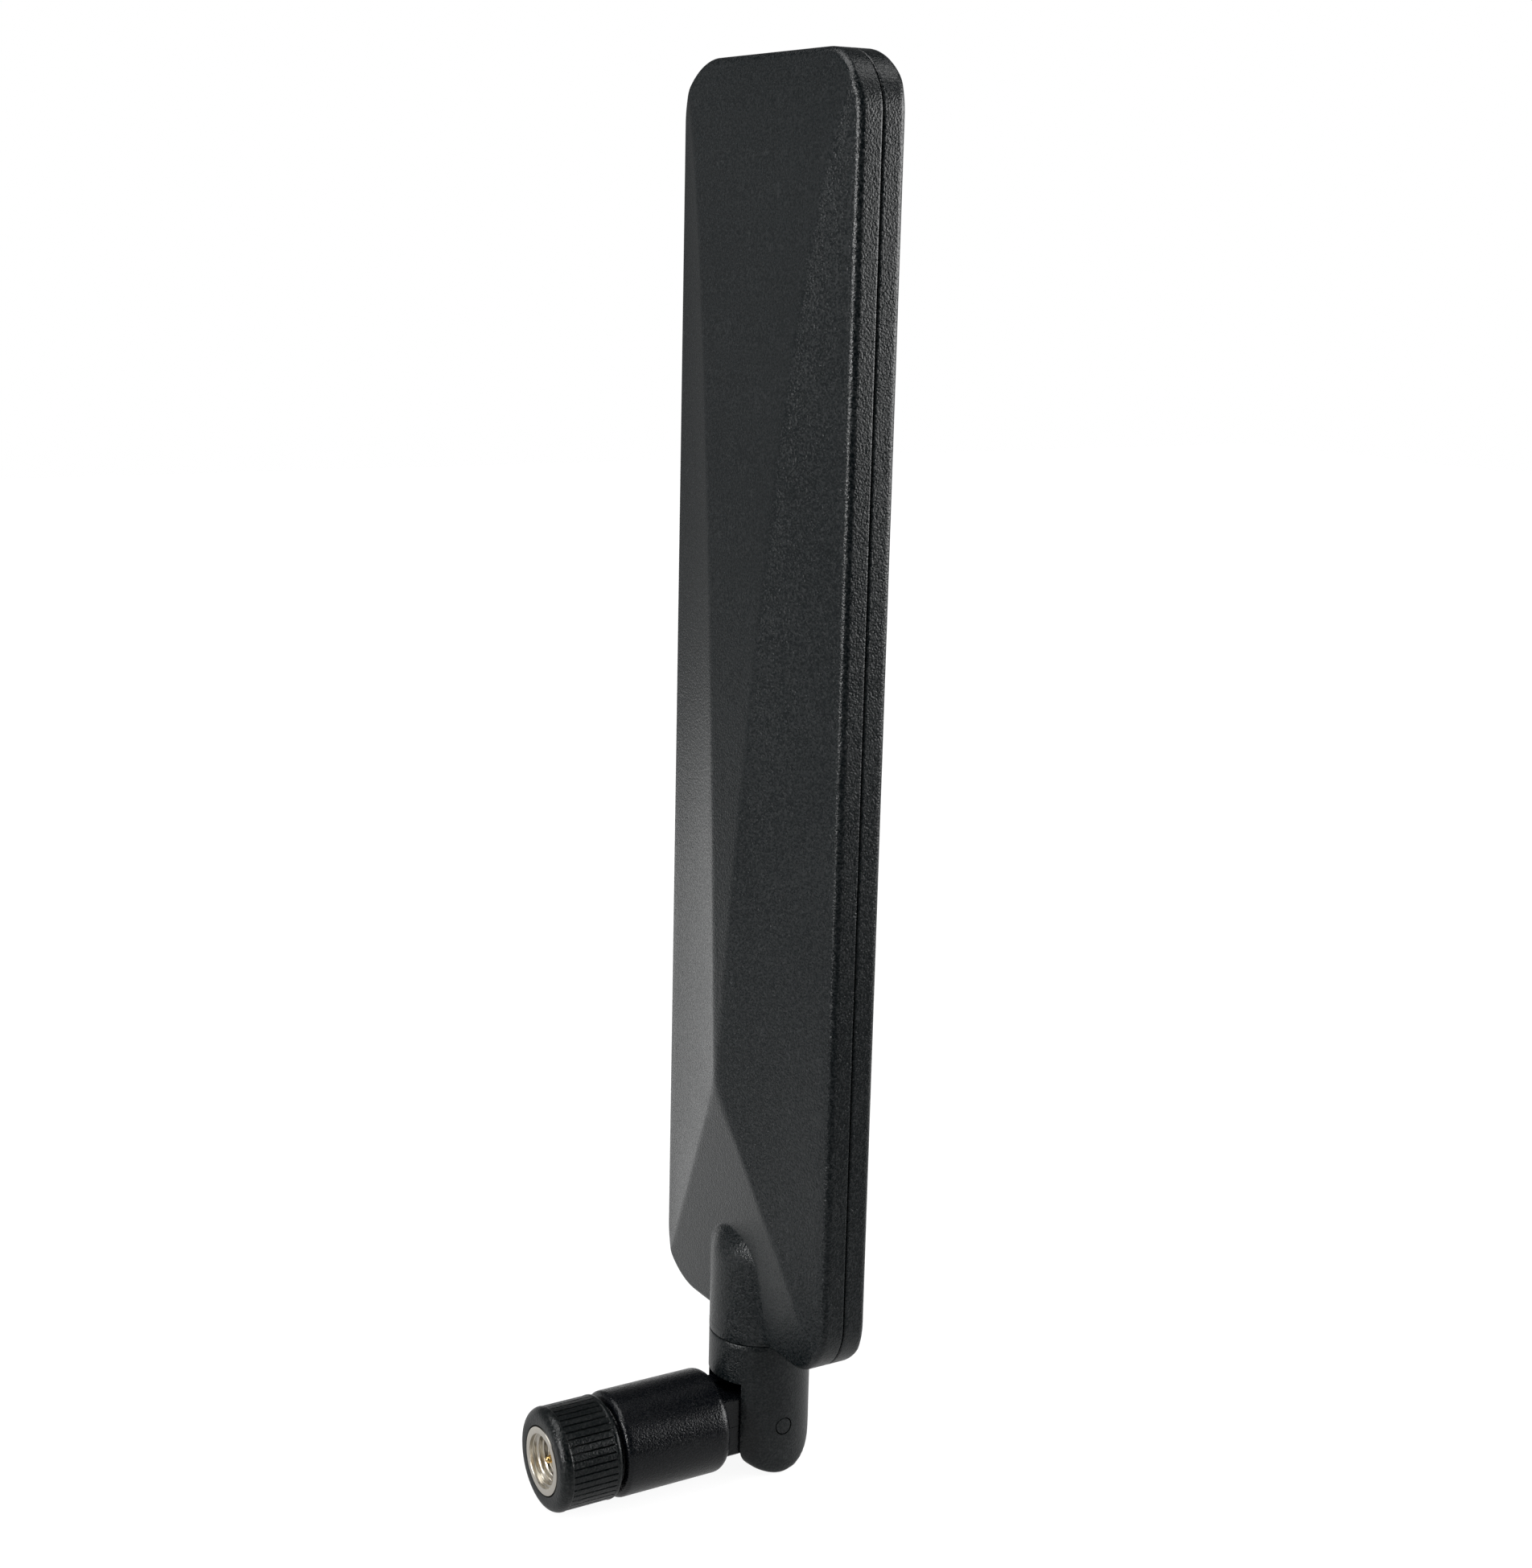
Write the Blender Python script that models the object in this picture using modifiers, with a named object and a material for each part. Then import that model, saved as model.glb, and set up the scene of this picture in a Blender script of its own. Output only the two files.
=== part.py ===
"""Paddle antenna: a two-shell blade on a fork hinge, and a knurled coaxial plug that swivels.

The plug lies along Y with its mouth at the origin, opening toward -Y. The hinge pins lie along X
behind it. The blade stands straight up from the hinge, its faceted face toward -Y.
"""
import math

import bmesh
import bpy

MM = 0.001

# Clearances
SEAT_GAP = 0.30 * MM
SEAM_GAP = 0.24 * MM
RUN_GAP = 0.10 * MM
SLIDE_GAP = 0.15 * MM
LAMINATE_GAP = 0.06 * MM

# Blade, measured from the hinge axis
BLADE_WIDTH = 36.8 * MM
BLADE_BOTTOM = 10.85 * MM
BLADE_TOP = 157.6 * MM
CORNER_RADIUS = 7.0 * MM
EDGE_HALF = 2.7 * MM
FACET_SLOPE = 0.235
APEX_HEIGHT = 42.0 * MM
CROWN_POWER = 0.55
CROWN_EASE = 0.1
EDGE_ROUND = 0.9 * MM
WALL = 1.6 * MM
LIP_WIDTH = 0.5 * MM
LIP_HEIGHT = 0.8 * MM
LIP_INSET = 0.55 * MM

# Boss at the foot of the shells
BOSS_RADIUS = 6.1 * MM
BOSS_BOTTOM = BLADE_BOTTOM - 0.25 * MM
BOSS_NOSE = 20.1 * MM

# Fork
FORK_RADIUS = 6.1 * MM
EAR_RADIUS = 6.15 * MM
SLOT_WIDTH = 7.7 * MM
SLOT_CEILING = 5.5 * MM
SPIGOT_RADIUS = 3.0 * MM
SPIGOT_TOP = 18.0 * MM
KEY_WIDTH = 6.6 * MM
KEY_THICKNESS = 1.8 * MM
KEY_HEIGHT = 13.0 * MM
CABLE_HOLE_RADIUS = 1.25 * MM

# Hinge
HINGE_REACH = 29.1 * MM
PIN_RADIUS = 1.05 * MM
PIN_LENGTH = 4.0 * MM
TONGUE_RADIUS = 3.7 * MM
TONGUE_WIDTH = 7.2 * MM
CHANNEL_WIDTH = 2.6 * MM

# Knuckle, measured along Y from the plug's mouth
BARREL_FRONT = 7.85 * MM
BARREL_REAR = 22.1 * MM
BARREL_RADIUS = 6.22 * MM
BARREL_ROUND = 1.1 * MM
BARREL_BORE_END = 16.9 * MM
BARREL_CAVITY_END = 20.6 * MM
BARREL_CAVITY_RADIUS = 2.9 * MM

# Plug
NUT_RADIUS = 4.0 * MM
NUT_MOUTH_RADIUS = 3.18 * MM
NUT_BORE_RADIUS = 3.05 * MM
NUT_THROAT_RADIUS = 2.75 * MM
NUT_THREAD_END = 5.6 * MM
NUT_LENGTH = 7.4 * MM
NUT_FLATS = 8.3 * MM
HEX_FRONT = 1.3 * MM
HEX_REAR = 6.7 * MM
SLEEVE_FRONT = 0.05 * MM
SLEEVE_REAR = 7.65 * MM
SLEEVE_RADIUS = 6.1 * MM
LIP_ROUND = 1.0 * MM
KNURL_FRONT = 1.3 * MM
KNURL_REAR = 6.9 * MM
KNURL_DEPTH = 0.28 * MM
KNURL_DROP = 0.05 * MM
KNURL_COUNT = 44
TUBE_RADIUS = 2.3 * MM
TUBE_BORE = 2.08 * MM
TUBE_FRONT = 1.9 * MM
SHANK_RADIUS = 3.6 * MM
SHANK_FRONT = 8.05 * MM
SHANK_REAR = 16.4 * MM
NECK_RADIUS = 2.55 * MM
SPUD_RADIUS = 1.1 * MM
SPUD_REAR = 19.4 * MM
FERRULE_RADIUS = 2.05 * MM
FERRULE_WALL = 0.3 * MM
FERRULE_FRONT = 16.8 * MM
DIELECTRIC_FRONT = 2.3 * MM
DIELECTRIC_REAR = 14.8 * MM
CONTACT_RADIUS = 0.46 * MM
CONTACT_TIP = 0.55 * MM
CONTACT_REAR = 15.4 * MM
RING_GROOVE_FRONT = 6.2 * MM
RING_THICKNESS = 0.55 * MM
RING_OUTER = 3.15 * MM
RING_INNER = 2.1 * MM
SWIVEL_GROOVE_FRONT = 12.2 * MM
SWIVEL_RING_THICKNESS = 1.0 * MM
SWIVEL_RING_OUTER = 4.1 * MM
SWIVEL_RING_INNER = 3.15 * MM
SPLIT_WIDTH = 0.8 * MM
GASKET_RADIUS = 2.95 * MM
GASKET_THICKNESS = 0.6 * MM

# Cable and board
JACKET_RADIUS = 0.9 * MM
BRAID_RADIUS = 0.68 * MM
CORE_INSULATION_RADIUS = 0.43 * MM
CORE_RADIUS = 0.18 * MM
BOARD_WIDTH = 27.0 * MM
BOARD_BOTTOM = 27.0 * MM
BOARD_TOP = BLADE_TOP - 7.0 * MM
BOARD_THICKNESS = 0.8 * MM
BOARD_POST_RADIUS = 1.1 * MM
BOARD_POST_HEIGHTS = (BOARD_BOTTOM + 7.0 * MM, BOARD_TOP - 9.0 * MM)
BOARD_POST_ASIDE = 9.0 * MM
FEED_HEIGHT = 89.0 * MM
FEED_GAP = 2.0 * MM
COPPER_THICKNESS = 0.07 * MM
UPPER_COPPER_TOP = BOARD_TOP - 13.6 * MM
LOWER_COPPER_BOTTOM = BOARD_BOTTOM + 17.0 * MM
COPPER_WIDTH = 15.0 * MM
ARM_WIDTH = 4.0 * MM

ROUND_STEPS = 44
INNER_STEPS = 28
SMALL_STEPS = 24

RIDGE_HALF = EDGE_HALF + FACET_SLOPE * BLADE_WIDTH / 2
MOUTH_CENTRE = (0.0, 0.0, 0.0)
HINGE_CENTRE = (0.0, HINGE_REACH, 0.0)
ALONG_PLUG = (-math.pi / 2, 0.0, 0.0)
ALONG_PIN = (0.0, math.pi / 2, 0.0)
FACING_FRONT = (math.pi / 2, 0.0, 0.0)
FACING_SIDE = (math.pi / 2, 0.0, math.pi / 2)
UPRIGHT = (0.0, 0.0, 0.0)


def clear_scene():
    """Remove what the scene starts with and make the two collections."""
    for thing in list(bpy.data.objects):
        bpy.data.objects.remove(thing, do_unlink=True)
    made = []
    for name in ("paddle_antenna", "cutters"):
        collection = bpy.data.collections.new(name)
        bpy.context.scene.collection.children.link(collection)
        made.append(collection)
    return made


PARTS, CUTTERS = clear_scene()


def material(name, colour, roughness, metallic=0.0):
    made = bpy.data.materials.new(name)
    made.use_nodes = True
    shader = made.node_tree.nodes["Principled BSDF"]
    shader.inputs["Base Color"].default_value = (*colour, 1.0)
    shader.inputs["Roughness"].default_value = roughness
    shader.inputs["Metallic"].default_value = metallic
    return made


def axis_empty(name, place):
    empty = bpy.data.objects.new(name, None)
    empty.location = place
    PARTS.objects.link(empty)
    return empty


NUT_AXIS = axis_empty("nut_axis", MOUTH_CENTRE)
SWIVEL_AXIS = axis_empty("swivel_axis", MOUTH_CENTRE)
TILT_AXIS = axis_empty("tilt_axis", HINGE_CENTRE)
TILT_AXIS.parent = SWIVEL_AXIS


def object_from(mesh, name, place, turn, parent=None):
    """Put a mesh in the scene as a cutter. The parent empty stands where the piece's origin is."""
    thing = bpy.data.objects.new(name, mesh)
    thing.rotation_euler = turn
    thing.location = place
    if parent is not None:
        thing.parent = parent
        thing.location = (0.0, 0.0, 0.0)
    CUTTERS.objects.link(thing)
    thing.hide_render = True
    thing.display_type = "WIRE"
    return thing


def as_part(thing, name, look, sharp_angle=math.radians(35)):
    """Move a finished piece from the cutters to the parts and give it its name and material."""
    CUTTERS.objects.unlink(thing)
    PARTS.objects.link(thing)
    thing.hide_render = False
    thing.display_type = "TEXTURED"
    thing.name = name
    thing.data.name = name
    thing.data.materials.clear()
    thing.data.materials.append(look)
    thing.data.shade_smooth()
    thing.data.set_sharp_from_angle(angle=sharp_angle)
    return thing


def boolean(target, other, operation="DIFFERENCE"):
    step = target.modifiers.new(other.name, "BOOLEAN")
    step.operation = operation
    step.solver = "EXACT"
    step.object = other
    return target


def box(name, corner, opposite, place=MOUTH_CENTRE, turn=UPRIGHT, parent=None):
    """A block between two opposite corners, in its own frame."""
    shape = bmesh.new()
    bmesh.ops.create_cube(shape, size=1.0)
    for vertex in shape.verts:
        for axis in range(3):
            low, high = sorted((corner[axis], opposite[axis]))
            vertex.co[axis] = low if vertex.co[axis] < 0 else high
    mesh = bpy.data.meshes.new(name)
    shape.to_mesh(mesh)
    shape.free()
    return object_from(mesh, name, place, turn, parent)


def rod(name, radius, low, high, place=MOUTH_CENTRE, turn=UPRIGHT, parent=None, steps=SMALL_STEPS):
    """A plain cylinder along its own Z, from low to high."""
    shape = bmesh.new()
    bmesh.ops.create_cone(shape, cap_ends=True, segments=steps, radius1=radius, radius2=radius,
                          depth=high - low)
    bmesh.ops.translate(shape, verts=shape.verts, vec=(0.0, 0.0, (low + high) / 2))
    mesh = bpy.data.meshes.new(name)
    shape.to_mesh(mesh)
    shape.free()
    return object_from(mesh, name, place, turn, parent)


def turned(name, profile, place=MOUTH_CENTRE, turn=ALONG_PLUG, parent=None, steps=ROUND_STEPS):
    """A turned ring or body: a closed profile of (radius, height), outer side from top to bottom."""
    shape = bmesh.new()
    corners = [shape.verts.new((radius, 0.0, height)) for radius, height in profile]
    for index, corner in enumerate(corners):
        following = corners[(index + 1) % len(corners)]
        if corner.co.x > 0 or following.co.x > 0:
            shape.edges.new((corner, following))
    mesh = bpy.data.meshes.new(name)
    shape.to_mesh(mesh)
    shape.free()
    thing = object_from(mesh, name, place, turn, parent)
    screw = thing.modifiers.new("turn", "SCREW")
    screw.axis = "Z"
    screw.angle = 2 * math.pi
    screw.steps = steps
    screw.render_steps = steps
    screw.use_merge_vertices = True
    screw.merge_threshold = 0.00001
    return thing


def plate(name, outline, thickness, place=MOUTH_CENTRE, turn=FACING_FRONT, parent=None):
    """A flat outline with a thickness, centred on its own plane, as a mesh that can be cut."""
    curve = bpy.data.curves.new(name, "CURVE")
    curve.dimensions = "2D"
    curve.fill_mode = "BOTH"
    curve.extrude = thickness / 2
    spline = curve.splines.new("POLY")
    spline.points.add(len(outline) - 1)
    for point, (across, up) in zip(spline.points, outline):
        point.co = (across, up, 0.0, 1.0)
    spline.use_cyclic_u = True
    drawn = bpy.data.objects.new(name, curve)
    CUTTERS.objects.link(drawn)
    return object_from(mesh_of_curve(drawn), name, place, turn, parent)


def mesh_of_curve(drawn):
    """The welded mesh of a curve object, which is then removed."""
    graph = bpy.context.evaluated_depsgraph_get()
    mesh = bpy.data.meshes.new_from_object(drawn.evaluated_get(graph))
    shape = bmesh.new()
    shape.from_mesh(mesh)
    bmesh.ops.remove_doubles(shape, verts=shape.verts, dist=0.000001)
    bmesh.ops.recalc_face_normals(shape, faces=shape.faces)
    shape.to_mesh(mesh)
    shape.free()
    bpy.data.objects.remove(drawn, do_unlink=True)
    return mesh


def arc(centre, radius, start, end, steps):
    """Points along an arc, with its angles in degrees."""
    points = []
    for index in range(steps + 1):
        angle = math.radians(start + (end - start) * index / steps)
        points.append((centre[0] + radius * math.cos(angle), centre[1] + radius * math.sin(angle)))
    return points


def rounded_rectangle(half_width, bottom, top, radius, steps=8):
    points = []
    corners = ((1, top, 0), (-1, top, 90), (-1, bottom, 180), (1, bottom, 270))
    for side, end, start in corners:
        inward = -radius if end == top else radius
        centre = (side * (half_width - radius), end + inward)
        points += arc(centre, radius, start, start + 90, steps)
    return points


# The form shared by both shells

def crown_height(height, inset):
    """How far the face stands from the seam plane: most at the apex, bending down to the top edge."""
    if height >= APEX_HEIGHT:
        share = max(BLADE_TOP - height, 0.0) / (BLADE_TOP - APEX_HEIGHT)
        share *= ((1 + CROWN_EASE) / (share + CROWN_EASE)) ** CROWN_POWER
    else:
        share = max(height - BLADE_BOTTOM, 0.0) / (APEX_HEIGHT - BLADE_BOTTOM)
    return EDGE_HALF - inset + share * (RIDGE_HALF - EDGE_HALF)


def crown_outline(inset):
    """The blade seen from its side: both faces, from the bottom edge over the apex to the top."""
    beyond = 1.0 * MM
    rows = 12
    above = BLADE_TOP - APEX_HEIGHT
    heights = [BLADE_TOP - above * (index / rows) ** 2 for index in range(rows + 1)]
    heights.append(BLADE_BOTTOM)
    side = [(-crown_height(height, inset), height) for height in heights]
    side.insert(0, (side[0][0], BLADE_TOP + beyond))
    side.append((side[-1][0], BLADE_BOTTOM - beyond))
    return side + [(-depth, height) for depth, height in reversed(side)]


def blade_body(name, inset):
    """The whole blade as a solid: its outline, its four-sided crown and its side slopes meet."""
    half_width = BLADE_WIDTH / 2
    body = plate(name, rounded_rectangle(half_width - inset, BLADE_BOTTOM + inset, BLADE_TOP - inset,
                                         CORNER_RADIUS - inset),
                 4 * RIDGE_HALF, HINGE_CENTRE, FACING_FRONT, TILT_AXIS)
    edge = EDGE_HALF - inset
    ridge = RIDGE_HALF - inset
    slopes = [(-half_width, -edge), (0.0, -ridge), (half_width, -edge),
              (half_width, edge), (0.0, ridge), (-half_width, edge)]
    roof = plate(name + "_slopes", slopes, 2 * BLADE_TOP + BLADE_WIDTH, HINGE_CENTRE, UPRIGHT, TILT_AXIS)
    crown = plate(name + "_crown", crown_outline(inset), 2 * BLADE_WIDTH, HINGE_CENTRE, FACING_SIDE,
                  TILT_AXIS)
    boolean(body, roof, "INTERSECT")
    boolean(body, crown, "INTERSECT")
    return body


def boss_body(name, radius, bottom):
    """The round boss with its domed nose."""
    dome = [(radius * math.cos(math.radians(angle)), BOSS_NOSE + radius * math.sin(math.radians(angle)))
            for angle in range(90, -1, -15)]
    dome[0] = (0.0, dome[0][1])
    return turned(name, dome + [(radius, bottom), (0.0, bottom)], HINGE_CENTRE, UPRIGHT, TILT_AXIS)


def lip_ring(name, extra, reach):
    """The ring round the seam: a tongue on one shell, and with extra room the groove in the other."""
    half_width = BLADE_WIDTH / 2
    outer = LIP_INSET - extra
    inner = LIP_INSET + LIP_WIDTH + extra
    ring = plate(name, rounded_rectangle(half_width - outer, BLADE_BOTTOM + outer, BLADE_TOP - outer,
                                         CORNER_RADIUS - outer),
                 2 * reach, HINGE_CENTRE, FACING_FRONT, TILT_AXIS)
    hole = plate(name + "_hole", rounded_rectangle(half_width - inner, BLADE_BOTTOM + inner,
                                                   BLADE_TOP - inner, CORNER_RADIUS - inner),
                 4 * reach, HINGE_CENTRE, FACING_FRONT, TILT_AXIS)
    boolean(ring, hole)
    clear = box(name + "_boss_gap", (-BOSS_RADIUS - WALL, -4 * reach, BLADE_BOTTOM - WALL),
                (BOSS_RADIUS + WALL, 4 * reach, BLADE_BOTTOM + 2 * WALL), parent=TILT_AXIS)
    boolean(ring, clear)
    return ring


def shell(name, side, look):
    """One moulded shell. The front one has side -1, the rear one side +1."""
    body = blade_body(name + "_body", 0.0)
    rounding = body.modifiers.new("edge_rounding", "BEVEL")
    rounding.width = EDGE_ROUND
    rounding.segments = 3
    rounding.limit_method = "ANGLE"
    rounding.angle_limit = math.radians(50)
    boolean(body, boss_body(name + "_boss", BOSS_RADIUS, BOSS_BOTTOM), "UNION")
    hollow = blade_body(name + "_hollow", WALL)
    boolean(hollow, boss_body(name + "_boss_core", BOSS_RADIUS, BLADE_BOTTOM - WALL))
    boolean(body, hollow)
    cut_spigot_seat(name, body)
    add_board_posts(name, body, side)
    far = 4 * RIDGE_HALF
    if side > 0:
        half = box(name + "_half", (-BLADE_WIDTH, SEAM_GAP / 2, 0.0), (BLADE_WIDTH, far, 2 * BLADE_TOP),
                   parent=TILT_AXIS)
        boolean(body, half, "INTERSECT")
        boolean(body, lip_ring(name + "_lip", 0.0, LIP_HEIGHT), "UNION")
    else:
        half = box(name + "_half", (-BLADE_WIDTH, -SEAM_GAP / 2, 0.0), (BLADE_WIDTH, -far, 2 * BLADE_TOP),
                   parent=TILT_AXIS)
        boolean(body, half, "INTERSECT")
        boolean(body, lip_ring(name + "_groove", SLIDE_GAP, LIP_HEIGHT + SEAT_GAP))
    return as_part(body, name, look, math.radians(20))


def cut_spigot_seat(name, body):
    """The round bore and square pocket in the boss that clamp the fork's spigot and its key."""
    half_step = (0.0, 0.0, math.pi / ROUND_STEPS)
    bore = rod(name + "_spigot_bore", SPIGOT_RADIUS + SLIDE_GAP, BOSS_BOTTOM - WALL,
               BOSS_NOSE + BOSS_RADIUS, HINGE_CENTRE, half_step, TILT_AXIS, ROUND_STEPS)
    boolean(body, bore)
    reach = KEY_WIDTH / 2 + SLIDE_GAP
    pocket = box(name + "_key_pocket", (-reach, -reach, KEY_HEIGHT - SLIDE_GAP),
                 (reach, reach, KEY_HEIGHT + KEY_THICKNESS + SLIDE_GAP), parent=TILT_AXIS)
    boolean(body, pocket)


def add_board_posts(name, body, side):
    """Posts that stand on the face's inside: pins through the board in front, rests behind it."""
    rest_face = BOARD_THICKNESS / 2 + SLIDE_GAP
    for level, height in enumerate(BOARD_POST_HEIGHTS):
        for aside in (-BOARD_POST_ASIDE, BOARD_POST_ASIDE):
            depth = EDGE_HALF + FACET_SLOPE * (BLADE_WIDTH / 2 - abs(aside)) - WALL / 2
            depth = min(depth, crown_height(height, WALL / 2))
            label = f"{name}_post_{level}_{'left' if aside < 0 else 'right'}"
            post = rod(label, 2 * BOARD_POST_RADIUS, rest_face, depth, parent=TILT_AXIS,
                       turn=(-side * math.pi / 2, 0.0, 0.0))
            post.location = (aside, 0.0, height)
            boolean(body, post, "UNION")
            if side < 0:
                pin = rod(label + "_pin", BOARD_POST_RADIUS, SEAM_GAP, depth, parent=TILT_AXIS,
                          turn=(math.pi / 2, 0.0, 0.0))
                pin.location = (aside, 0.0, height)
                boolean(body, pin, "UNION")


# Fork and pins

def make_fork(look):
    top = BOSS_BOTTOM - SEAT_GAP
    body = rod("fork_body", FORK_RADIUS, -EAR_RADIUS, top, HINGE_CENTRE, UPRIGHT, TILT_AXIS, ROUND_STEPS)
    ears = rod("fork_ears", EAR_RADIUS, -2 * FORK_RADIUS, 2 * FORK_RADIUS, HINGE_CENTRE, ALONG_PIN,
               TILT_AXIS, ROUND_STEPS)
    shank = box("fork_shank", (-2 * FORK_RADIUS, -2 * FORK_RADIUS, 0.0),
                (2 * FORK_RADIUS, 2 * FORK_RADIUS, 2 * top), parent=TILT_AXIS)
    boolean(ears, shank, "UNION")
    boolean(body, ears, "INTERSECT")
    boolean(body, rod("fork_spigot", SPIGOT_RADIUS, top / 2, SPIGOT_TOP, HINGE_CENTRE, UPRIGHT, TILT_AXIS,
                      ROUND_STEPS), "UNION")
    key = box("fork_key", (-KEY_WIDTH / 2, -KEY_WIDTH / 2, KEY_HEIGHT),
              (KEY_WIDTH / 2, KEY_WIDTH / 2, KEY_HEIGHT + KEY_THICKNESS), parent=TILT_AXIS)
    boolean(body, key, "UNION")
    room = TONGUE_RADIUS + SEAT_GAP
    slot = rod("fork_slot", room, -SLOT_WIDTH / 2, SLOT_WIDTH / 2, HINGE_CENTRE, ALONG_PIN, TILT_AXIS,
               ROUND_STEPS)
    forward = box("fork_slot_front", (-SLOT_WIDTH / 2, -2 * FORK_RADIUS, -2 * EAR_RADIUS),
                  (SLOT_WIDTH / 2, 0.0, SLOT_CEILING), parent=TILT_AXIS)
    downward = box("fork_slot_foot", (-SLOT_WIDTH / 2, -FORK_RADIUS, -2 * EAR_RADIUS),
                   (SLOT_WIDTH / 2, room, 0.0), parent=TILT_AXIS)
    boolean(slot, forward, "UNION")
    boolean(slot, downward, "UNION")
    boolean(body, slot)
    boolean(body, rod("fork_cable_hole", CABLE_HOLE_RADIUS, 0.0, 2 * SPIGOT_TOP, HINGE_CENTRE, UPRIGHT,
                      TILT_AXIS))
    boolean(body, rod("fork_pin_hole", PIN_RADIUS + RUN_GAP / 2, -2 * FORK_RADIUS, 2 * FORK_RADIUS,
                      HINGE_CENTRE, ALONG_PIN, TILT_AXIS))
    return as_part(body, "fork", look)


def make_pins(look):
    """Two short pins, so that the cable can pass between them."""
    outer = FORK_RADIUS - SLIDE_GAP / 2
    for name, side in (("hinge_pin_left", -1), ("hinge_pin_right", 1)):
        low, high = sorted((side * (outer - PIN_LENGTH), side * outer))
        pin = rod(name + "_body", PIN_RADIUS, low, high, HINGE_CENTRE, ALONG_PIN, TILT_AXIS)
        as_part(pin, name, look)


# Knuckle

def make_knuckle(look):
    bore = SHANK_RADIUS + SLIDE_GAP
    groove = SWIVEL_RING_OUTER + SLIDE_GAP
    groove_front = SWIVEL_GROOVE_FRONT - SLIDE_GAP
    groove_rear = SWIVEL_GROOVE_FRONT + SWIVEL_RING_THICKNESS + SLIDE_GAP
    flat = BARREL_RADIUS - BARREL_ROUND
    rear = arc((flat, BARREL_REAR - BARREL_ROUND), BARREL_ROUND, 90, 0, 4)
    front = arc((flat, BARREL_FRONT + BARREL_ROUND), BARREL_ROUND, 0, -90, 4)
    inside = [(bore, BARREL_FRONT), (bore, groove_front), (groove, groove_front), (groove, groove_rear),
              (bore, groove_rear), (bore, BARREL_BORE_END), (BARREL_CAVITY_RADIUS, BARREL_BORE_END),
              (BARREL_CAVITY_RADIUS, BARREL_CAVITY_END), (CHANNEL_WIDTH / 2, BARREL_CAVITY_END),
              (CHANNEL_WIDTH / 2, BARREL_REAR)]
    body = turned("knuckle_barrel", rear + front + inside, parent=SWIVEL_AXIS)
    tongue = rod("knuckle_tongue", TONGUE_RADIUS, -TONGUE_WIDTH / 2, TONGUE_WIDTH / 2, HINGE_CENTRE,
                 ALONG_PIN, steps=ROUND_STEPS)
    neck = box("knuckle_neck", (-TONGUE_WIDTH / 2, BARREL_REAR - BARREL_ROUND, -TONGUE_RADIUS),
               (TONGUE_WIDTH / 2, HINGE_REACH, TONGUE_RADIUS))
    boolean(tongue, neck, "UNION")
    boolean(body, tongue, "UNION")
    half_channel = CHANNEL_WIDTH / 2
    channel = box("knuckle_channel", (-half_channel, BARREL_CAVITY_END - WALL, -half_channel),
                  (half_channel, HINGE_REACH + 2 * TONGUE_RADIUS, half_channel))
    climb = box("knuckle_channel_top", (-half_channel, BARREL_REAR + WALL, 0.0),
                (half_channel, HINGE_REACH + 2 * TONGUE_RADIUS, 2 * TONGUE_RADIUS))
    boolean(channel, climb, "UNION")
    boolean(body, channel)
    boolean(body, rod("knuckle_pin_hole", PIN_RADIUS + RUN_GAP, -TONGUE_WIDTH, TONGUE_WIDTH, HINGE_CENTRE,
                      ALONG_PIN))
    return as_part(body, "knuckle", look)


# Plug

def make_connector_shell(look):
    groove_front = RING_GROOVE_FRONT - RUN_GAP
    groove_rear = RING_GROOVE_FRONT + RING_THICKNESS + RUN_GAP
    groove = RING_INNER - RUN_GAP
    swivel_front = SWIVEL_GROOVE_FRONT - RUN_GAP
    swivel_rear = SWIVEL_GROOVE_FRONT + SWIVEL_RING_THICKNESS + RUN_GAP
    swivel_groove = SWIVEL_RING_INNER - RUN_GAP
    pocket = TUBE_BORE
    outside = [(SPUD_RADIUS, SPUD_REAR), (SPUD_RADIUS, SHANK_REAR), (SHANK_RADIUS, SHANK_REAR),
               (SHANK_RADIUS, swivel_rear), (swivel_groove, swivel_rear), (swivel_groove, swivel_front),
               (SHANK_RADIUS, swivel_front), (SHANK_RADIUS, SHANK_FRONT), (NECK_RADIUS, SHANK_FRONT),
               (NECK_RADIUS, groove_rear), (groove, groove_rear), (groove, groove_front),
               (NECK_RADIUS, groove_front), (NECK_RADIUS, NUT_THREAD_END),
               (TUBE_RADIUS, NUT_THREAD_END), (TUBE_RADIUS, TUBE_FRONT)]
    throat = RING_INNER - 4 * RUN_GAP
    step = NUT_THREAD_END - RUN_GAP
    inside = [(pocket, TUBE_FRONT), (pocket, step), (throat, step),
              (throat, DIELECTRIC_REAR + RUN_GAP),
              (CORE_INSULATION_RADIUS + RUN_GAP, DIELECTRIC_REAR + RUN_GAP + WALL / 2),
              (CORE_INSULATION_RADIUS + RUN_GAP, SPUD_REAR)]
    return as_part(turned("connector_shell_body", outside + inside, steps=INNER_STEPS), "connector_shell",
                   look)


def make_plug_dielectric(look):
    step = NUT_THREAD_END - 2 * RUN_GAP
    wide = TUBE_BORE - RUN_GAP
    narrow = RING_INNER - 5 * RUN_GAP
    hole = CONTACT_RADIUS + RUN_GAP / 2
    profile = [(narrow, DIELECTRIC_REAR), (narrow, step), (wide, step), (wide, DIELECTRIC_FRONT),
               (hole, DIELECTRIC_FRONT), (hole, DIELECTRIC_REAR)]
    as_part(turned("plug_dielectric_body", profile, steps=INNER_STEPS), "plug_dielectric", look)


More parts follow.
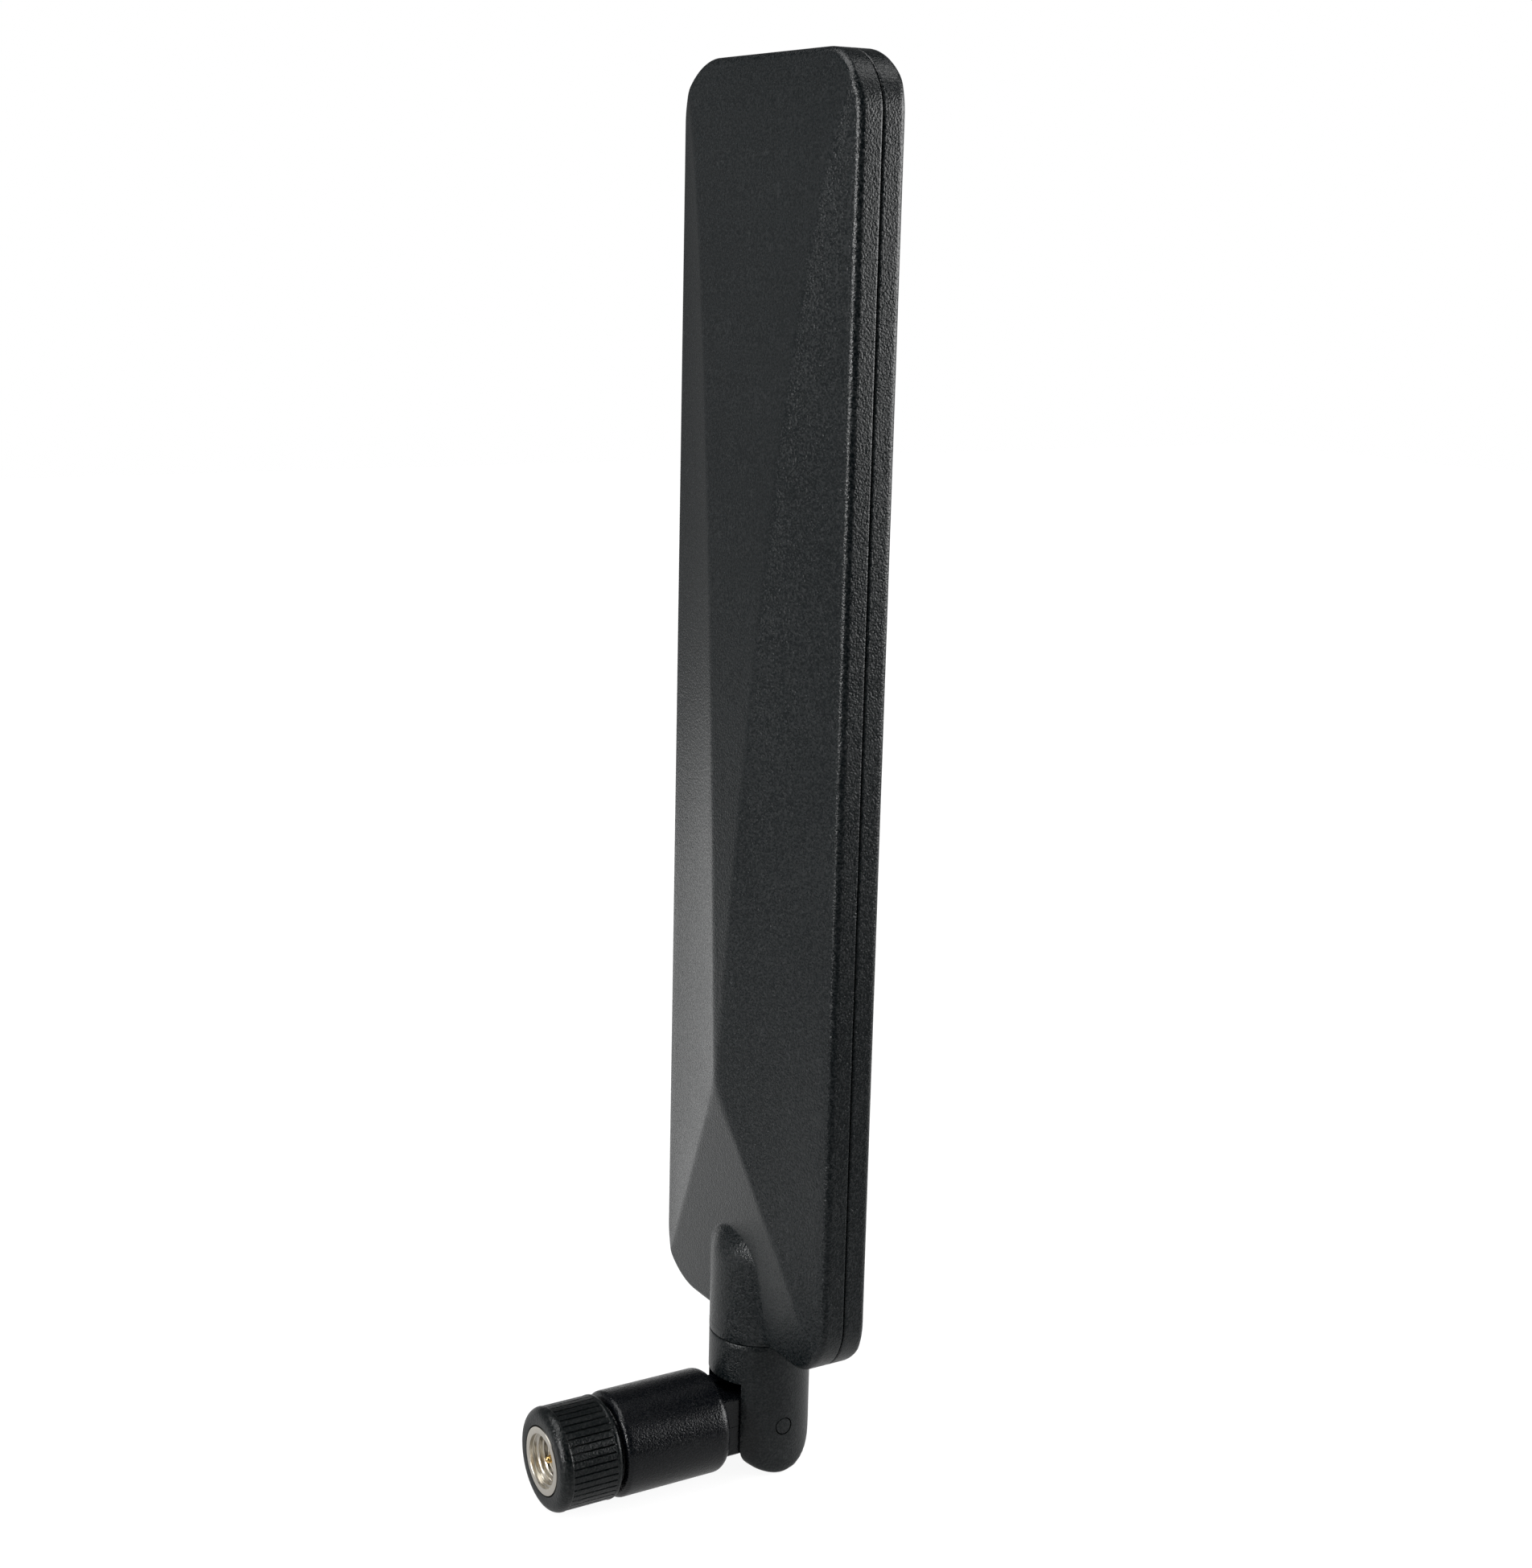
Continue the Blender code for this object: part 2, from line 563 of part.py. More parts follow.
def make_centre_contact(look):
    nose = 0.5 * MM
    tip = CONTACT_RADIUS / 3
    socket = CORE_RADIUS + RUN_GAP / 2
    depth = CONTACT_REAR - 2.0 * MM
    profile = [(CONTACT_RADIUS, CONTACT_REAR), (CONTACT_RADIUS, CONTACT_TIP + nose),
               (0.8 * CONTACT_RADIUS, CONTACT_TIP + nose / 4), (tip, CONTACT_TIP), (0.0, CONTACT_TIP),
               (0.0, depth), (socket, depth), (socket, CONTACT_REAR)]
    as_part(turned("centre_contact_body", profile, steps=SMALL_STEPS), "centre_contact", look)


def split_ring(name, inner, outer, front, thickness, look):
    """A spring ring of square section with a gap in it, so that it opens over the shell."""
    rear = front + thickness
    profile = [(outer, rear), (outer, front), (inner, front), (inner, rear)]
    ring = turned(name + "_body", profile, steps=INNER_STEPS)
    gap = box(name + "_split", (-SPLIT_WIDTH / 2, front - thickness, -2 * outer),
              (SPLIT_WIDTH / 2, rear + thickness, 0.0))
    as_part(boolean(ring, gap), name, look)


def hexagon(flats):
    radius = flats / math.sqrt(3)
    return [(radius * math.cos(math.radians(60 * turn)), radius * math.sin(math.radians(60 * turn)))
            for turn in range(6)]


def make_coupling_nut(look):
    """Hexagonal nut with a round nose. Its thread is left to the finish."""
    chamfer = NUT_MOUTH_RADIUS - NUT_BORE_RADIUS
    groove = RING_OUTER + RUN_GAP
    groove_front = RING_GROOVE_FRONT - RUN_GAP
    groove_rear = RING_GROOVE_FRONT + RING_THICKNESS + RUN_GAP
    outside = [(NUT_RADIUS, NUT_LENGTH), (NUT_RADIUS, 0.0)]
    inside = [(NUT_MOUTH_RADIUS, 0.0), (NUT_BORE_RADIUS, chamfer), (NUT_BORE_RADIUS, NUT_THREAD_END),
              (NUT_THROAT_RADIUS, NUT_THREAD_END), (NUT_THROAT_RADIUS, groove_front),
              (groove, groove_front), (groove, groove_rear), (NUT_THROAT_RADIUS, groove_rear),
              (NUT_THROAT_RADIUS, NUT_LENGTH)]
    body = turned("coupling_nut_body", outside + inside, parent=NUT_AXIS)
    middle = (HEX_FRONT + HEX_REAR) / 2
    flats = plate("coupling_nut_flats", hexagon(NUT_FLATS), HEX_REAR - HEX_FRONT, (0.0, middle, 0.0),
                  FACING_FRONT)
    boolean(flats, rod("coupling_nut_flats_bore", (NUT_RADIUS + RING_OUTER) / 2, -NUT_LENGTH,
                       2 * NUT_LENGTH, turn=ALONG_PLUG, steps=ROUND_STEPS))
    boolean(body, flats, "UNION")
    return as_part(body, "coupling_nut", look)


def knurl_outline():
    """The ribbed outline: a narrow crest and a narrow root for each rib."""
    points = []
    for rib in range(KNURL_COUNT):
        for share, depth in ((0.1, 0.0), (0.4, 0.0), (0.65, KNURL_DEPTH), (0.85, KNURL_DEPTH)):
            angle = 2 * math.pi * (rib + share) / KNURL_COUNT
            radius = SLEEVE_RADIUS - KNURL_DROP - depth
            points.append((radius * math.cos(angle), radius * math.sin(angle)))
    return points


def make_nut_sleeve(look):
    """The knurled cap pressed over the nut: smooth lips, ribs between them, a hexagonal pocket."""
    root = SLEEVE_RADIUS - 2 * KNURL_DEPTH
    flat = SLEEVE_RADIUS - LIP_ROUND
    rear_round = LIP_ROUND / 2
    bore = NUT_RADIUS + SLIDE_GAP
    rear_lip = arc((SLEEVE_RADIUS - rear_round, SLEEVE_REAR - rear_round), rear_round, 90, 0, 3)
    front_lip = arc((flat, SLEEVE_FRONT + LIP_ROUND), LIP_ROUND, 0, -90, 4)
    profile = rear_lip + [(SLEEVE_RADIUS, KNURL_REAR), (root, KNURL_REAR), (root, KNURL_FRONT),
                          (SLEEVE_RADIUS, KNURL_FRONT)] + front_lip
    profile += [(bore, SLEEVE_FRONT), (bore, SLEEVE_REAR)]
    body = turned("nut_sleeve_body", profile, parent=NUT_AXIS)
    overlap = 0.5 * KNURL_DEPTH
    length = KNURL_REAR - KNURL_FRONT + 2 * overlap
    middle = (0.0, (KNURL_FRONT + KNURL_REAR) / 2, 0.0)
    ribs = plate("nut_sleeve_ribs", knurl_outline(), length, middle, FACING_FRONT)
    boolean(ribs, rod("nut_sleeve_ribs_bore", (bore + root) / 2, -NUT_LENGTH, 2 * NUT_LENGTH,
                      turn=ALONG_PLUG, steps=ROUND_STEPS))
    boolean(body, ribs, "UNION")
    pocket_length = HEX_REAR - HEX_FRONT + 2 * SLIDE_GAP
    pocket = plate("nut_sleeve_pocket", hexagon(NUT_FLATS + 2 * SLIDE_GAP), pocket_length,
                   (0.0, (HEX_FRONT + HEX_REAR) / 2, 0.0), FACING_FRONT)
    boolean(body, pocket)
    return as_part(body, "nut_sleeve", look)


def make_gasket(look):
    """The flat seal at the bottom of the nut's thread."""
    rear = NUT_THREAD_END - RUN_GAP
    front = rear - GASKET_THICKNESS
    inner = TUBE_RADIUS + RUN_GAP
    profile = [(GASKET_RADIUS, rear), (GASKET_RADIUS, front), (inner, front), (inner, rear)]
    as_part(turned("gasket_body", profile, steps=INNER_STEPS), "gasket", look)


def make_crimp(braid_look, ferrule_look):
    """The braid over the shell's spud and the ferrule crimped on it."""
    braid_inner = SPUD_RADIUS + RUN_GAP
    braid_outer = FERRULE_RADIUS - FERRULE_WALL - RUN_GAP
    front = SHANK_REAR + RUN_GAP
    braid = [(braid_outer, SPUD_REAR), (braid_outer, front), (braid_inner, front), (braid_inner, SPUD_REAR)]
    as_part(turned("plug_braid_body", braid, steps=SMALL_STEPS), "plug_braid", braid_look)
    inner = FERRULE_RADIUS - FERRULE_WALL
    ferrule = [(FERRULE_RADIUS, SPUD_REAR), (FERRULE_RADIUS, FERRULE_FRONT), (inner, FERRULE_FRONT),
               (inner, SPUD_REAR)]
    as_part(turned("crimp_ferrule_body", ferrule, steps=SMALL_STEPS), "crimp_ferrule", ferrule_look)


# Board and cable

def make_board(look):
    hole_gap = RUN_GAP
    body = box("board_body", (-BOARD_WIDTH / 2, -BOARD_THICKNESS / 2, BOARD_BOTTOM),
               (BOARD_WIDTH / 2, BOARD_THICKNESS / 2, BOARD_TOP), parent=TILT_AXIS)
    for level, height in enumerate(BOARD_POST_HEIGHTS):
        for aside in (-BOARD_POST_ASIDE, BOARD_POST_ASIDE):
            hole = rod(f"board_hole_{level}_{'left' if aside < 0 else 'right'}",
                       BOARD_POST_RADIUS + hole_gap, -WALL, WALL, parent=TILT_AXIS, turn=FACING_FRONT)
            hole.location = (aside, 0.0, height)
            boolean(body, hole)
    return as_part(body, "radiator_board", look)


def copper(name, near, far, look):
    """One half of the printed dipole: two arms beside the cable that join at the feed."""
    front = -BOARD_THICKNESS / 2 - LAMINATE_GAP
    back = front - COPPER_THICKNESS
    low, high = sorted((near, far))
    body = box(name + "_body", (-COPPER_WIDTH / 2, back, low), (COPPER_WIDTH / 2, front, high),
               parent=TILT_AXIS)
    inner = COPPER_WIDTH / 2 - ARM_WIDTH
    bar = ARM_WIDTH if far > near else -ARM_WIDTH
    window = box(name + "_window", (-inner, 2 * back, near + bar), (inner, 0.0, far + bar),
                 parent=TILT_AXIS)
    return as_part(boolean(body, window), name, look)


def solder(name, radius, height, look):
    """A low dome of solder on the copper, drawn out over the wire that it holds."""
    face = BOARD_THICKNESS / 2 + 2 * LAMINATE_GAP + COPPER_THICKNESS
    dome = [(radius * math.cos(math.radians(angle)), face + radius * math.sin(math.radians(angle)))
            for angle in (90, 60, 30, 0)]
    dome[0] = (0.0, dome[0][1])
    joint = turned(name + "_body", dome + [(0.0, face)], MOUTH_CENTRE, FACING_FRONT, TILT_AXIS,
                   SMALL_STEPS)
    joint.location = (0.0, 0.0, height)
    return joint


def smooth_route(corners, spacing):
    """Points along a smooth curve through the route's own points."""
    points = []
    for index in range(len(corners) - 1):
        before = corners[max(index - 1, 0)]
        start = corners[index]
        end = corners[index + 1]
        after = corners[min(index + 2, len(corners) - 1)]
        count = max(1, round(math.dist(start, end) / spacing))
        for step in range(count):
            share = step / count
            point = []
            for axis in range(3):
                leave = (end[axis] - before[axis]) / 2
                arrive = (after[axis] - start[axis]) / 2
                value = (2 * share ** 3 - 3 * share ** 2 + 1) * start[axis]
                value += (share ** 3 - 2 * share ** 2 + share) * leave
                value += (3 * share ** 2 - 2 * share ** 3) * end[axis]
                value += (share ** 3 - share ** 2) * arrive
                point.append(value)
            points.append(tuple(point))
    points.append(corners[-1])
    return points


def wire(name, radius, points, look):
    curve = bpy.data.curves.new(name, "CURVE")
    curve.dimensions = "3D"
    curve.bevel_depth = radius
    curve.bevel_resolution = 2
    curve.use_fill_caps = True
    spline = curve.splines.new("POLY")
    spline.points.add(len(points) - 1)
    for point, place in zip(spline.points, points):
        point.co = (*place, 1.0)
    drawn = bpy.data.objects.new(name, curve)
    CUTTERS.objects.link(drawn)
    return as_part(object_from(mesh_of_curve(drawn), name, HINGE_CENTRE, UPRIGHT, TILT_AXIS), name, look)


def make_cable(jacket_look, braid_look, insulation_look, core_look, solder_look):
    """The coaxial cable, from the crimp through the hinge and the boss to the feed of the board."""
    front = -(BOARD_THICKNESS / 2 + 2 * LAMINATE_GAP + COPPER_THICKNESS + JACKET_RADIUS + RUN_GAP)
    start = SPUD_REAR + RUN_GAP - HINGE_REACH
    bend = 3.2 * MM
    jacket_end = FEED_HEIGHT - 9.0 * MM
    lie = BOARD_BOTTOM + 4.0 * MM
    corners = [(0.0, start, 0.0), (0.0, -1.6 * bend, 0.0), (0.0, -0.95 * bend, 0.1 * bend),
               (0.0, -0.28 * bend, 0.4 * bend), (0.0, 0.0, 1.1 * bend), (0.0, 0.0, SPIGOT_TOP),
               (0.0, 0.2 * front, SPIGOT_TOP + 3.0 * MM), (0.0, 0.85 * front, lie - 4.0 * MM),
               (0.0, front, lie), (0.0, front, jacket_end)]
    wire("cable_jacket", JACKET_RADIUS, smooth_route(corners, 1.8 * MM), jacket_look)
    braid_end = FEED_HEIGHT - FEED_GAP / 2 - 2.0 * MM
    wire("cable_braid", BRAID_RADIUS, [(0.0, front, jacket_end + RUN_GAP), (0.0, front, braid_end)],
         braid_look)
    insulation_end = FEED_HEIGHT + FEED_GAP / 4
    wire("cable_insulation", CORE_INSULATION_RADIUS,
         [(0.0, front, braid_end + RUN_GAP), (0.0, front, insulation_end)], insulation_look)
    core_end = FEED_HEIGHT + FEED_GAP + ARM_WIDTH / 2
    wire("cable_core", CORE_RADIUS, [(0.0, front, insulation_end + RUN_GAP), (0.0, front, core_end)],
         core_look)
    for name, radius, height, held, reach in (
            ("core_solder", 1.7 * MM, FEED_HEIGHT + FEED_GAP / 2 + ARM_WIDTH / 2, CORE_RADIUS, core_end),
            ("braid_solder", 1.9 * MM, FEED_HEIGHT - FEED_GAP / 2 - ARM_WIDTH / 2, BRAID_RADIUS, FEED_HEIGHT)):
        joint = solder(name, radius, height, solder_look)
        hole = rod(name + "_wire_hole", held + RUN_GAP, height - 2 * radius, reach + RUN_GAP,
                   parent=TILT_AXIS)
        hole.location = (0.0, front, 0.0)
        as_part(boolean(joint, hole), name, solder_look)


def main():
    black_plastic = material("matt_black_plastic", (0.030, 0.031, 0.033), 0.55)
    glossy_plastic = material("glossy_black_plastic", (0.018, 0.018, 0.019), 0.35)
    nickel = material("nickel_plate", (0.66, 0.63, 0.58), 0.3, 1.0)
    gold = material("gold_plate", (0.86, 0.62, 0.26), 0.25, 1.0)
    steel = material("spring_steel", (0.5, 0.5, 0.5), 0.35, 1.0)
    copper_metal = material("copper", (0.85, 0.45, 0.28), 0.3, 1.0)
    tinned = material("tinned_braid", (0.62, 0.62, 0.6), 0.4, 1.0)
    fluoropolymer = material("white_fluoropolymer", (0.86, 0.86, 0.83), 0.4)
    jacket = material("cable_jacket", (0.05, 0.05, 0.05), 0.5)
    glass_board = material("glass_fibre_board", (0.10, 0.22, 0.12), 0.45)
    rubber = material("red_rubber", (0.35, 0.05, 0.04), 0.7)
    nylon = material("white_nylon", (0.75, 0.74, 0.70), 0.5)
    shell("front_shell", -1, black_plastic)
    shell("rear_shell", 1, black_plastic)
    make_fork(black_plastic)
    make_pins(black_plastic)
    make_knuckle(glossy_plastic)
    make_connector_shell(nickel)
    make_plug_dielectric(fluoropolymer)
    make_centre_contact(gold)
    make_coupling_nut(nickel)
    make_nut_sleeve(glossy_plastic)
    make_gasket(rubber)
    make_crimp(tinned, nickel)
    split_ring("retaining_ring", RING_INNER, RING_OUTER, RING_GROOVE_FRONT, RING_THICKNESS, steel)
    split_ring("friction_ring", SWIVEL_RING_INNER, SWIVEL_RING_OUTER, SWIVEL_GROOVE_FRONT,
               SWIVEL_RING_THICKNESS, nylon)
    make_board(glass_board)
    copper("upper_radiator", FEED_HEIGHT + FEED_GAP / 2, UPPER_COPPER_TOP, copper_metal)
    copper("lower_radiator", FEED_HEIGHT - FEED_GAP / 2, LOWER_COPPER_BOTTOM, copper_metal)
    make_cable(jacket, tinned, fluoropolymer, copper_metal, tinned)


main()
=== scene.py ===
import math

import bmesh
import bpy
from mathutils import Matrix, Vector


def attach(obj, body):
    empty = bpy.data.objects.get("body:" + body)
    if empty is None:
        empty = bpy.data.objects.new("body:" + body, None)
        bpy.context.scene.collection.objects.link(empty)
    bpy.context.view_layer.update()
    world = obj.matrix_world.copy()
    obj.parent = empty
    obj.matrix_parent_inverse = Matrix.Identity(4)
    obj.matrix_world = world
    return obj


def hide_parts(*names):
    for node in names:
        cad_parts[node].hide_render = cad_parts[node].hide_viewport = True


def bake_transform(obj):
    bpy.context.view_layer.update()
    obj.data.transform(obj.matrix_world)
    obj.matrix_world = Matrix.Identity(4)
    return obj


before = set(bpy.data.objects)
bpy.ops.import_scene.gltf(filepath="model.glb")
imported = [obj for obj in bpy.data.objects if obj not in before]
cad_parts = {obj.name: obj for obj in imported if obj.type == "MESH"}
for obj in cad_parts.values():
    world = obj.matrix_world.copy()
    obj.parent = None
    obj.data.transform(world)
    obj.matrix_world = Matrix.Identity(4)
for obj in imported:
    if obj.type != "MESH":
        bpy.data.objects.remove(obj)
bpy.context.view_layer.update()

# Studio: a white table in soft light. A tall softbox in front of the blade and one behind it to the
# right draw the bright lines on its rounded edges. In reflections the room is dark on the camera's
# side, and the table glows with painted pools of light and painted shade, which give each facet of
# the blade its tone.
camera = bpy.data.objects.new("camera", bpy.data.cameras.new("camera"))
camera.data.sensor_width = 36.0
camera.data.lens = 54.909
camera.data.clip_start = 0.01
camera.location = (0.228177, -0.109548, 0.137546)
camera.rotation_euler = (math.radians(77.294), math.radians(-1.332), math.radians(59.191))
bpy.context.collection.objects.link(camera)
bpy.context.scene.camera = camera
bpy.context.scene.view_settings.view_transform = "Standard"


def softbox(name, place, aim, width, height, power):
    lamp = bpy.data.lights.new(name, "AREA")
    lamp.shape = "RECTANGLE"
    lamp.size = width
    lamp.size_y = height
    lamp.energy = power
    box = bpy.data.objects.new(name, lamp)
    box.location = place
    box.rotation_euler = (Vector(aim) - Vector(place)).to_track_quat("-Z", "Y").to_euler()
    bpy.context.collection.objects.link(box)


softbox("overhead_softbox", (-0.10, -0.22, 0.62), (0.0, 0.03, 0.06), 0.45, 0.45, 2.0)
softbox("front_softbox", (0.07, -0.59, 0.20), (0.0, 0.03, 0.10), 0.09, 0.34, 2.5)
softbox("rear_softbox", (0.28, 0.58, 0.22), (0.0, 0.03, 0.10), 0.50, 0.38, 3.55)
softbox("high_softbox", (0.33, 0.26, 0.58), (0.0, 0.01, 0.0), 0.25, 0.25, 0.07)
softbox("corner_softbox", (0.06, 0.42, 0.72), (0.0, 0.03, 0.15), 0.26, 0.26, 0.55)


def math_in(nodes, links, operation, one, two, clamp=False):
    """A sum, product or other result of two values, each a number or another node's output."""
    made = nodes.new("ShaderNodeMath")
    made.operation = operation
    made.use_clamp = clamp
    for socket, value in ((made.inputs[0], one), (made.inputs[1], two)):
        if isinstance(value, (int, float)):
            socket.default_value = value
        else:
            links.new(value, socket)
    return made.outputs["Value"]


def value_map(nodes, links, source, low, high, first, last):
    """A smooth step of one value over a range of another."""
    made = nodes.new("ShaderNodeMapRange")
    made.interpolation_type = "SMOOTHSTEP"
    for socket, value in (("From Min", low), ("From Max", high), ("To Min", first), ("To Max", last)):
        made.inputs[socket].default_value = value
    links.new(source, made.inputs["Value"])
    return made.outputs["Result"]


def measure_in(nodes, links, operation, source, fixed):
    """The distance of a place from a fixed one, or how far a direction leans to a fixed one."""
    made = nodes.new("ShaderNodeVectorMath")
    made.operation = operation
    links.new(source, made.inputs[0])
    made.inputs[1].default_value = fixed
    return made.outputs["Value"]


def seen_directly(nodes, links):
    """1 for camera rays, and 1 for the glossy and transmitted rays that show the surroundings."""
    path = nodes.new("ShaderNodeLightPath")
    glossy = math_in(nodes, links, "MAXIMUM", path.outputs["Is Glossy Ray"],
                     path.outputs["Is Transmission Ray"])
    return path.outputs["Is Camera Ray"], glossy


camera_side = (0.854, -0.519, 0.0)
straight_up = (0.0, 0.0, 1.0)
far_left = (-0.996, -0.087, 0.0)
diffuse_level = 0.30
world = bpy.data.worlds.new("studio")
bpy.context.scene.world = world
world.use_nodes = True
nodes, links = world.node_tree.nodes, world.node_tree.links
to_camera, to_gloss = seen_directly(nodes, links)
direction = nodes.new("ShaderNodeTexCoord").outputs["Generated"]
room_tone = None
for toward, low, high, first, last in ((camera_side, -0.3, 0.6, 1.0, 0.08),
                                       (straight_up, 0.05, 0.5, 0.34, 0.045),
                                       (far_left, 0.86, 1.0, 1.0, 0.50)):
    lean = measure_in(nodes, links, "DOT_PRODUCT", direction, toward)
    share = value_map(nodes, links, lean, low, high, first, last)
    room_tone = share if room_tone is None else math_in(nodes, links, "MULTIPLY", room_tone, share)
room = nodes.new("ShaderNodeMix")
room.inputs["A"].default_value = diffuse_level
links.new(to_gloss, room.inputs["Factor"])
links.new(room_tone, room.inputs["B"])
backdrop = nodes.new("ShaderNodeMix")
backdrop.inputs["B"].default_value = 1.0
links.new(to_camera, backdrop.inputs["Factor"])
links.new(room.outputs["Result"], backdrop.inputs["A"])
background = nodes["Background"]
background.inputs["Color"].default_value = (1.0, 1.0, 1.0, 1.0)
links.new(backdrop.outputs["Result"], background.inputs["Strength"])

# The camera sees the table as white with a faint shadow, and sees through it when the blade is
# turned to hang below it.
table_half = 1.2
table_height = -0.0064
table = bpy.data.objects.new("table", bpy.data.meshes.new("table"))
shape = bmesh.new()
bmesh.ops.create_grid(shape, x_segments=1, y_segments=1, size=table_half)
shape.to_mesh(table.data)
shape.free()
table.location = (0.0, 0.0, table_height)
bpy.context.collection.objects.link(table)
table_white = bpy.data.materials.new("white_table")
table_white.use_nodes = True
nodes, links = table_white.node_tree.nodes, table_white.node_tree.links
nodes.remove(nodes["Principled BSDF"])
to_camera, to_gloss = seen_directly(nodes, links)
spot = nodes.new("ShaderNodeTexCoord").outputs["Object"]
paper = nodes.new("ShaderNodeBsdfDiffuse")
paper.inputs["Color"].default_value = (0.75, 0.75, 0.75, 1.0)
shadow = nodes.new("ShaderNodeBsdfDiffuse")
shadow.inputs["Color"].default_value = (0.18, 0.18, 0.18, 1.0)
clear = nodes.new("ShaderNodeBsdfTransparent")
aside = measure_in(nodes, links, "DISTANCE", spot, (0.0, 0.0, 0.0))
links.new(value_map(nodes, links, aside, 0.06, 0.60, 0.92, 1.0), clear.inputs["Color"])
seen = nodes.new("ShaderNodeAddShader")
links.new(shadow.outputs["BSDF"], seen.inputs[0])
links.new(clear.outputs["BSDF"], seen.inputs[1])
# Painted light: in reflections the table is a glowing sheet, no lamp, with painted shade toward the camera's
# side and painted pools of light and shade round the part.
toward = measure_in(nodes, links, "DOT_PRODUCT", spot, camera_side)
painted_light = value_map(nodes, links, toward, 0.02, 0.30, 1.0, 0.08)
for centre, inner, outer, within, beyond in (((-0.20, 0.12, 0.0), 0.10, 0.32, 1.10, 0.20),
                                             ((-0.17, -0.10, 0.0), 0.04, 0.14, 0.35, 1.0),
                                             ((-0.05, -0.40, 0.0), 0.10, 0.45, 1.70, 1.0),
                                             ((0.0, 0.0, 0.0), 0.04, 0.13, 0.86, 1.0)):
    aside = measure_in(nodes, links, "DISTANCE", spot, centre)
    painted_pool = value_map(nodes, links, aside, inner, outer, within, beyond)
    painted_light = math_in(nodes, links, "MULTIPLY", painted_light, painted_pool)
painted_glow = nodes.new("ShaderNodeEmission")
links.new(painted_light, painted_glow.inputs["Strength"])
chosen = paper.outputs["BSDF"]
for factor, other in ((to_gloss, painted_glow.outputs["Emission"]), (to_camera, seen.outputs["Shader"])):
    choice = nodes.new("ShaderNodeMixShader")
    links.new(factor, choice.inputs["Fac"])
    links.new(chosen, choice.inputs[1])
    links.new(other, choice.inputs[2])
    chosen = choice.outputs["Shader"]
links.new(chosen, nodes["Material Output"].inputs["Surface"])
table.data.materials.append(table_white)

# Blade shells: two ABS mouldings with a spark-eroded face, clipped together round their edge. Each
# has a crown of four slightly hollow facets that meet in soft creases, and half of the round boss
# that holds the fork. They meet in a fine seam. Sizes are in millimetres from the hinge axis.
hinge = (0.0, 29.1, 0.0)
blade_half = 18.4
blade_bottom = 10.85
blade_top = 157.6
corner_radius = 7.0
edge_half = 2.76
facet_slope = 0.2265
apex_height = 42.0
apex_reach = 1.5
edge_round = 0.68
crease_round = 0.16
facet_hollow = 0.07
boss_radius = 6.1
boss_nose = 20.1
nose_length = 4.2
bow_reach = 2.6
boss_bottom = 10.6
boss_fillet = 0.12
boss_flank = 6.1
boss_top = 26.0
far_flank_lean = 0.56
seam_half = 0.06
shell_wall = 1.6
spigot_bore = 3.15
key_pocket = 3.45
post_radius = 2.2
post_hole = 1.1


def piece_from(name, points, faces, origin):
    """A piece from points in millimetres about an origin, with its faces turned outward."""
    mesh = bpy.data.meshes.new(name)
    mesh.from_pydata([[(p + o) * 0.001 for p, o in zip(point, origin)] for point in points], [], faces)
    shape = bmesh.new()
    shape.from_mesh(mesh)
    bmesh.ops.recalc_face_normals(shape, faces=shape.faces)
    shape.to_mesh(mesh)
    shape.free()
    piece = bpy.data.objects.new(name, mesh)
    bpy.context.collection.objects.link(piece)
    return piece


def lofted(name, loops, origin=hinge, ring=False):
    """A skin over closed loops of equal length. Its ends are capped, or joined into a ring."""
    count = len(loops[0])
    points = [point for loop in loops for point in loop]
    faces = []
    for level in range(len(loops) if ring else len(loops) - 1):
        start, after = level * count, (level + 1) % len(loops) * count
        for index in range(count):
            turn = (index + 1) % count
            faces.append((start + index, start + turn, after + turn, after + index))
    if not ring:
        faces += [tuple(range(count)), tuple(range(len(points) - count, len(points)))]
    return piece_from(name, points, faces, origin)


def circle(radius, along, steps, axis="Z", middle=(0.0, 0.0)):
    loop = []
    for index in range(steps):
        angle = 2 * math.pi * (index + 0.5) / steps
        one, two = middle[0] + radius * math.cos(angle), middle[1] + radius * math.sin(angle)
        loop.append({"X": (along, one, two), "Y": (one, along, two), "Z": (one, two, along)}[axis])
    return loop


def rod(radius, low, high, axis="Z", middle=(0.0, 0.0), steps=48):
    return lofted("rod", [circle(radius, along, steps, axis, middle) for along in (low, high)])


def block(low, high, origin=hinge):
    corners = ((low[0], low[1]), (high[0], low[1]), (high[0], high[1]), (low[0], high[1]))
    return lofted("block", [[(across, deep, up) for across, deep in corners] for up in (low[2], high[2])],
                  origin)


def carve(piece, tool, operation="DIFFERENCE"):
    """Cut a tool from a piece, or join it on, and take the tool away."""
    step = piece.modifiers.new(tool.name, "BOOLEAN")
    step.operation = operation
    step.solver = "EXACT"
    step.object = tool
    graph = bpy.context.evaluated_depsgraph_get()
    mesh = bpy.data.meshes.new_from_object(piece.evaluated_get(graph))
    piece.modifiers.clear()
    piece.data = mesh
    bpy.data.objects.remove(tool, do_unlink=True)
    return piece


def soft_least(one, two, reach):
    blend = max(reach - abs(one - two), 0.0) / reach
    return min(one, two) - blend * blend * reach / 4


def crown_share(height):
    """How far the middle facet has risen, from nothing at the blade's ends to one at the apex."""
    if height < apex_height:
        return max(height - blade_bottom, 0.0) / (apex_height - blade_bottom)
    share = max(blade_top - height, 0.0) / (blade_top - apex_height)
    return share * (1.1 / (share + 0.1)) ** 0.55


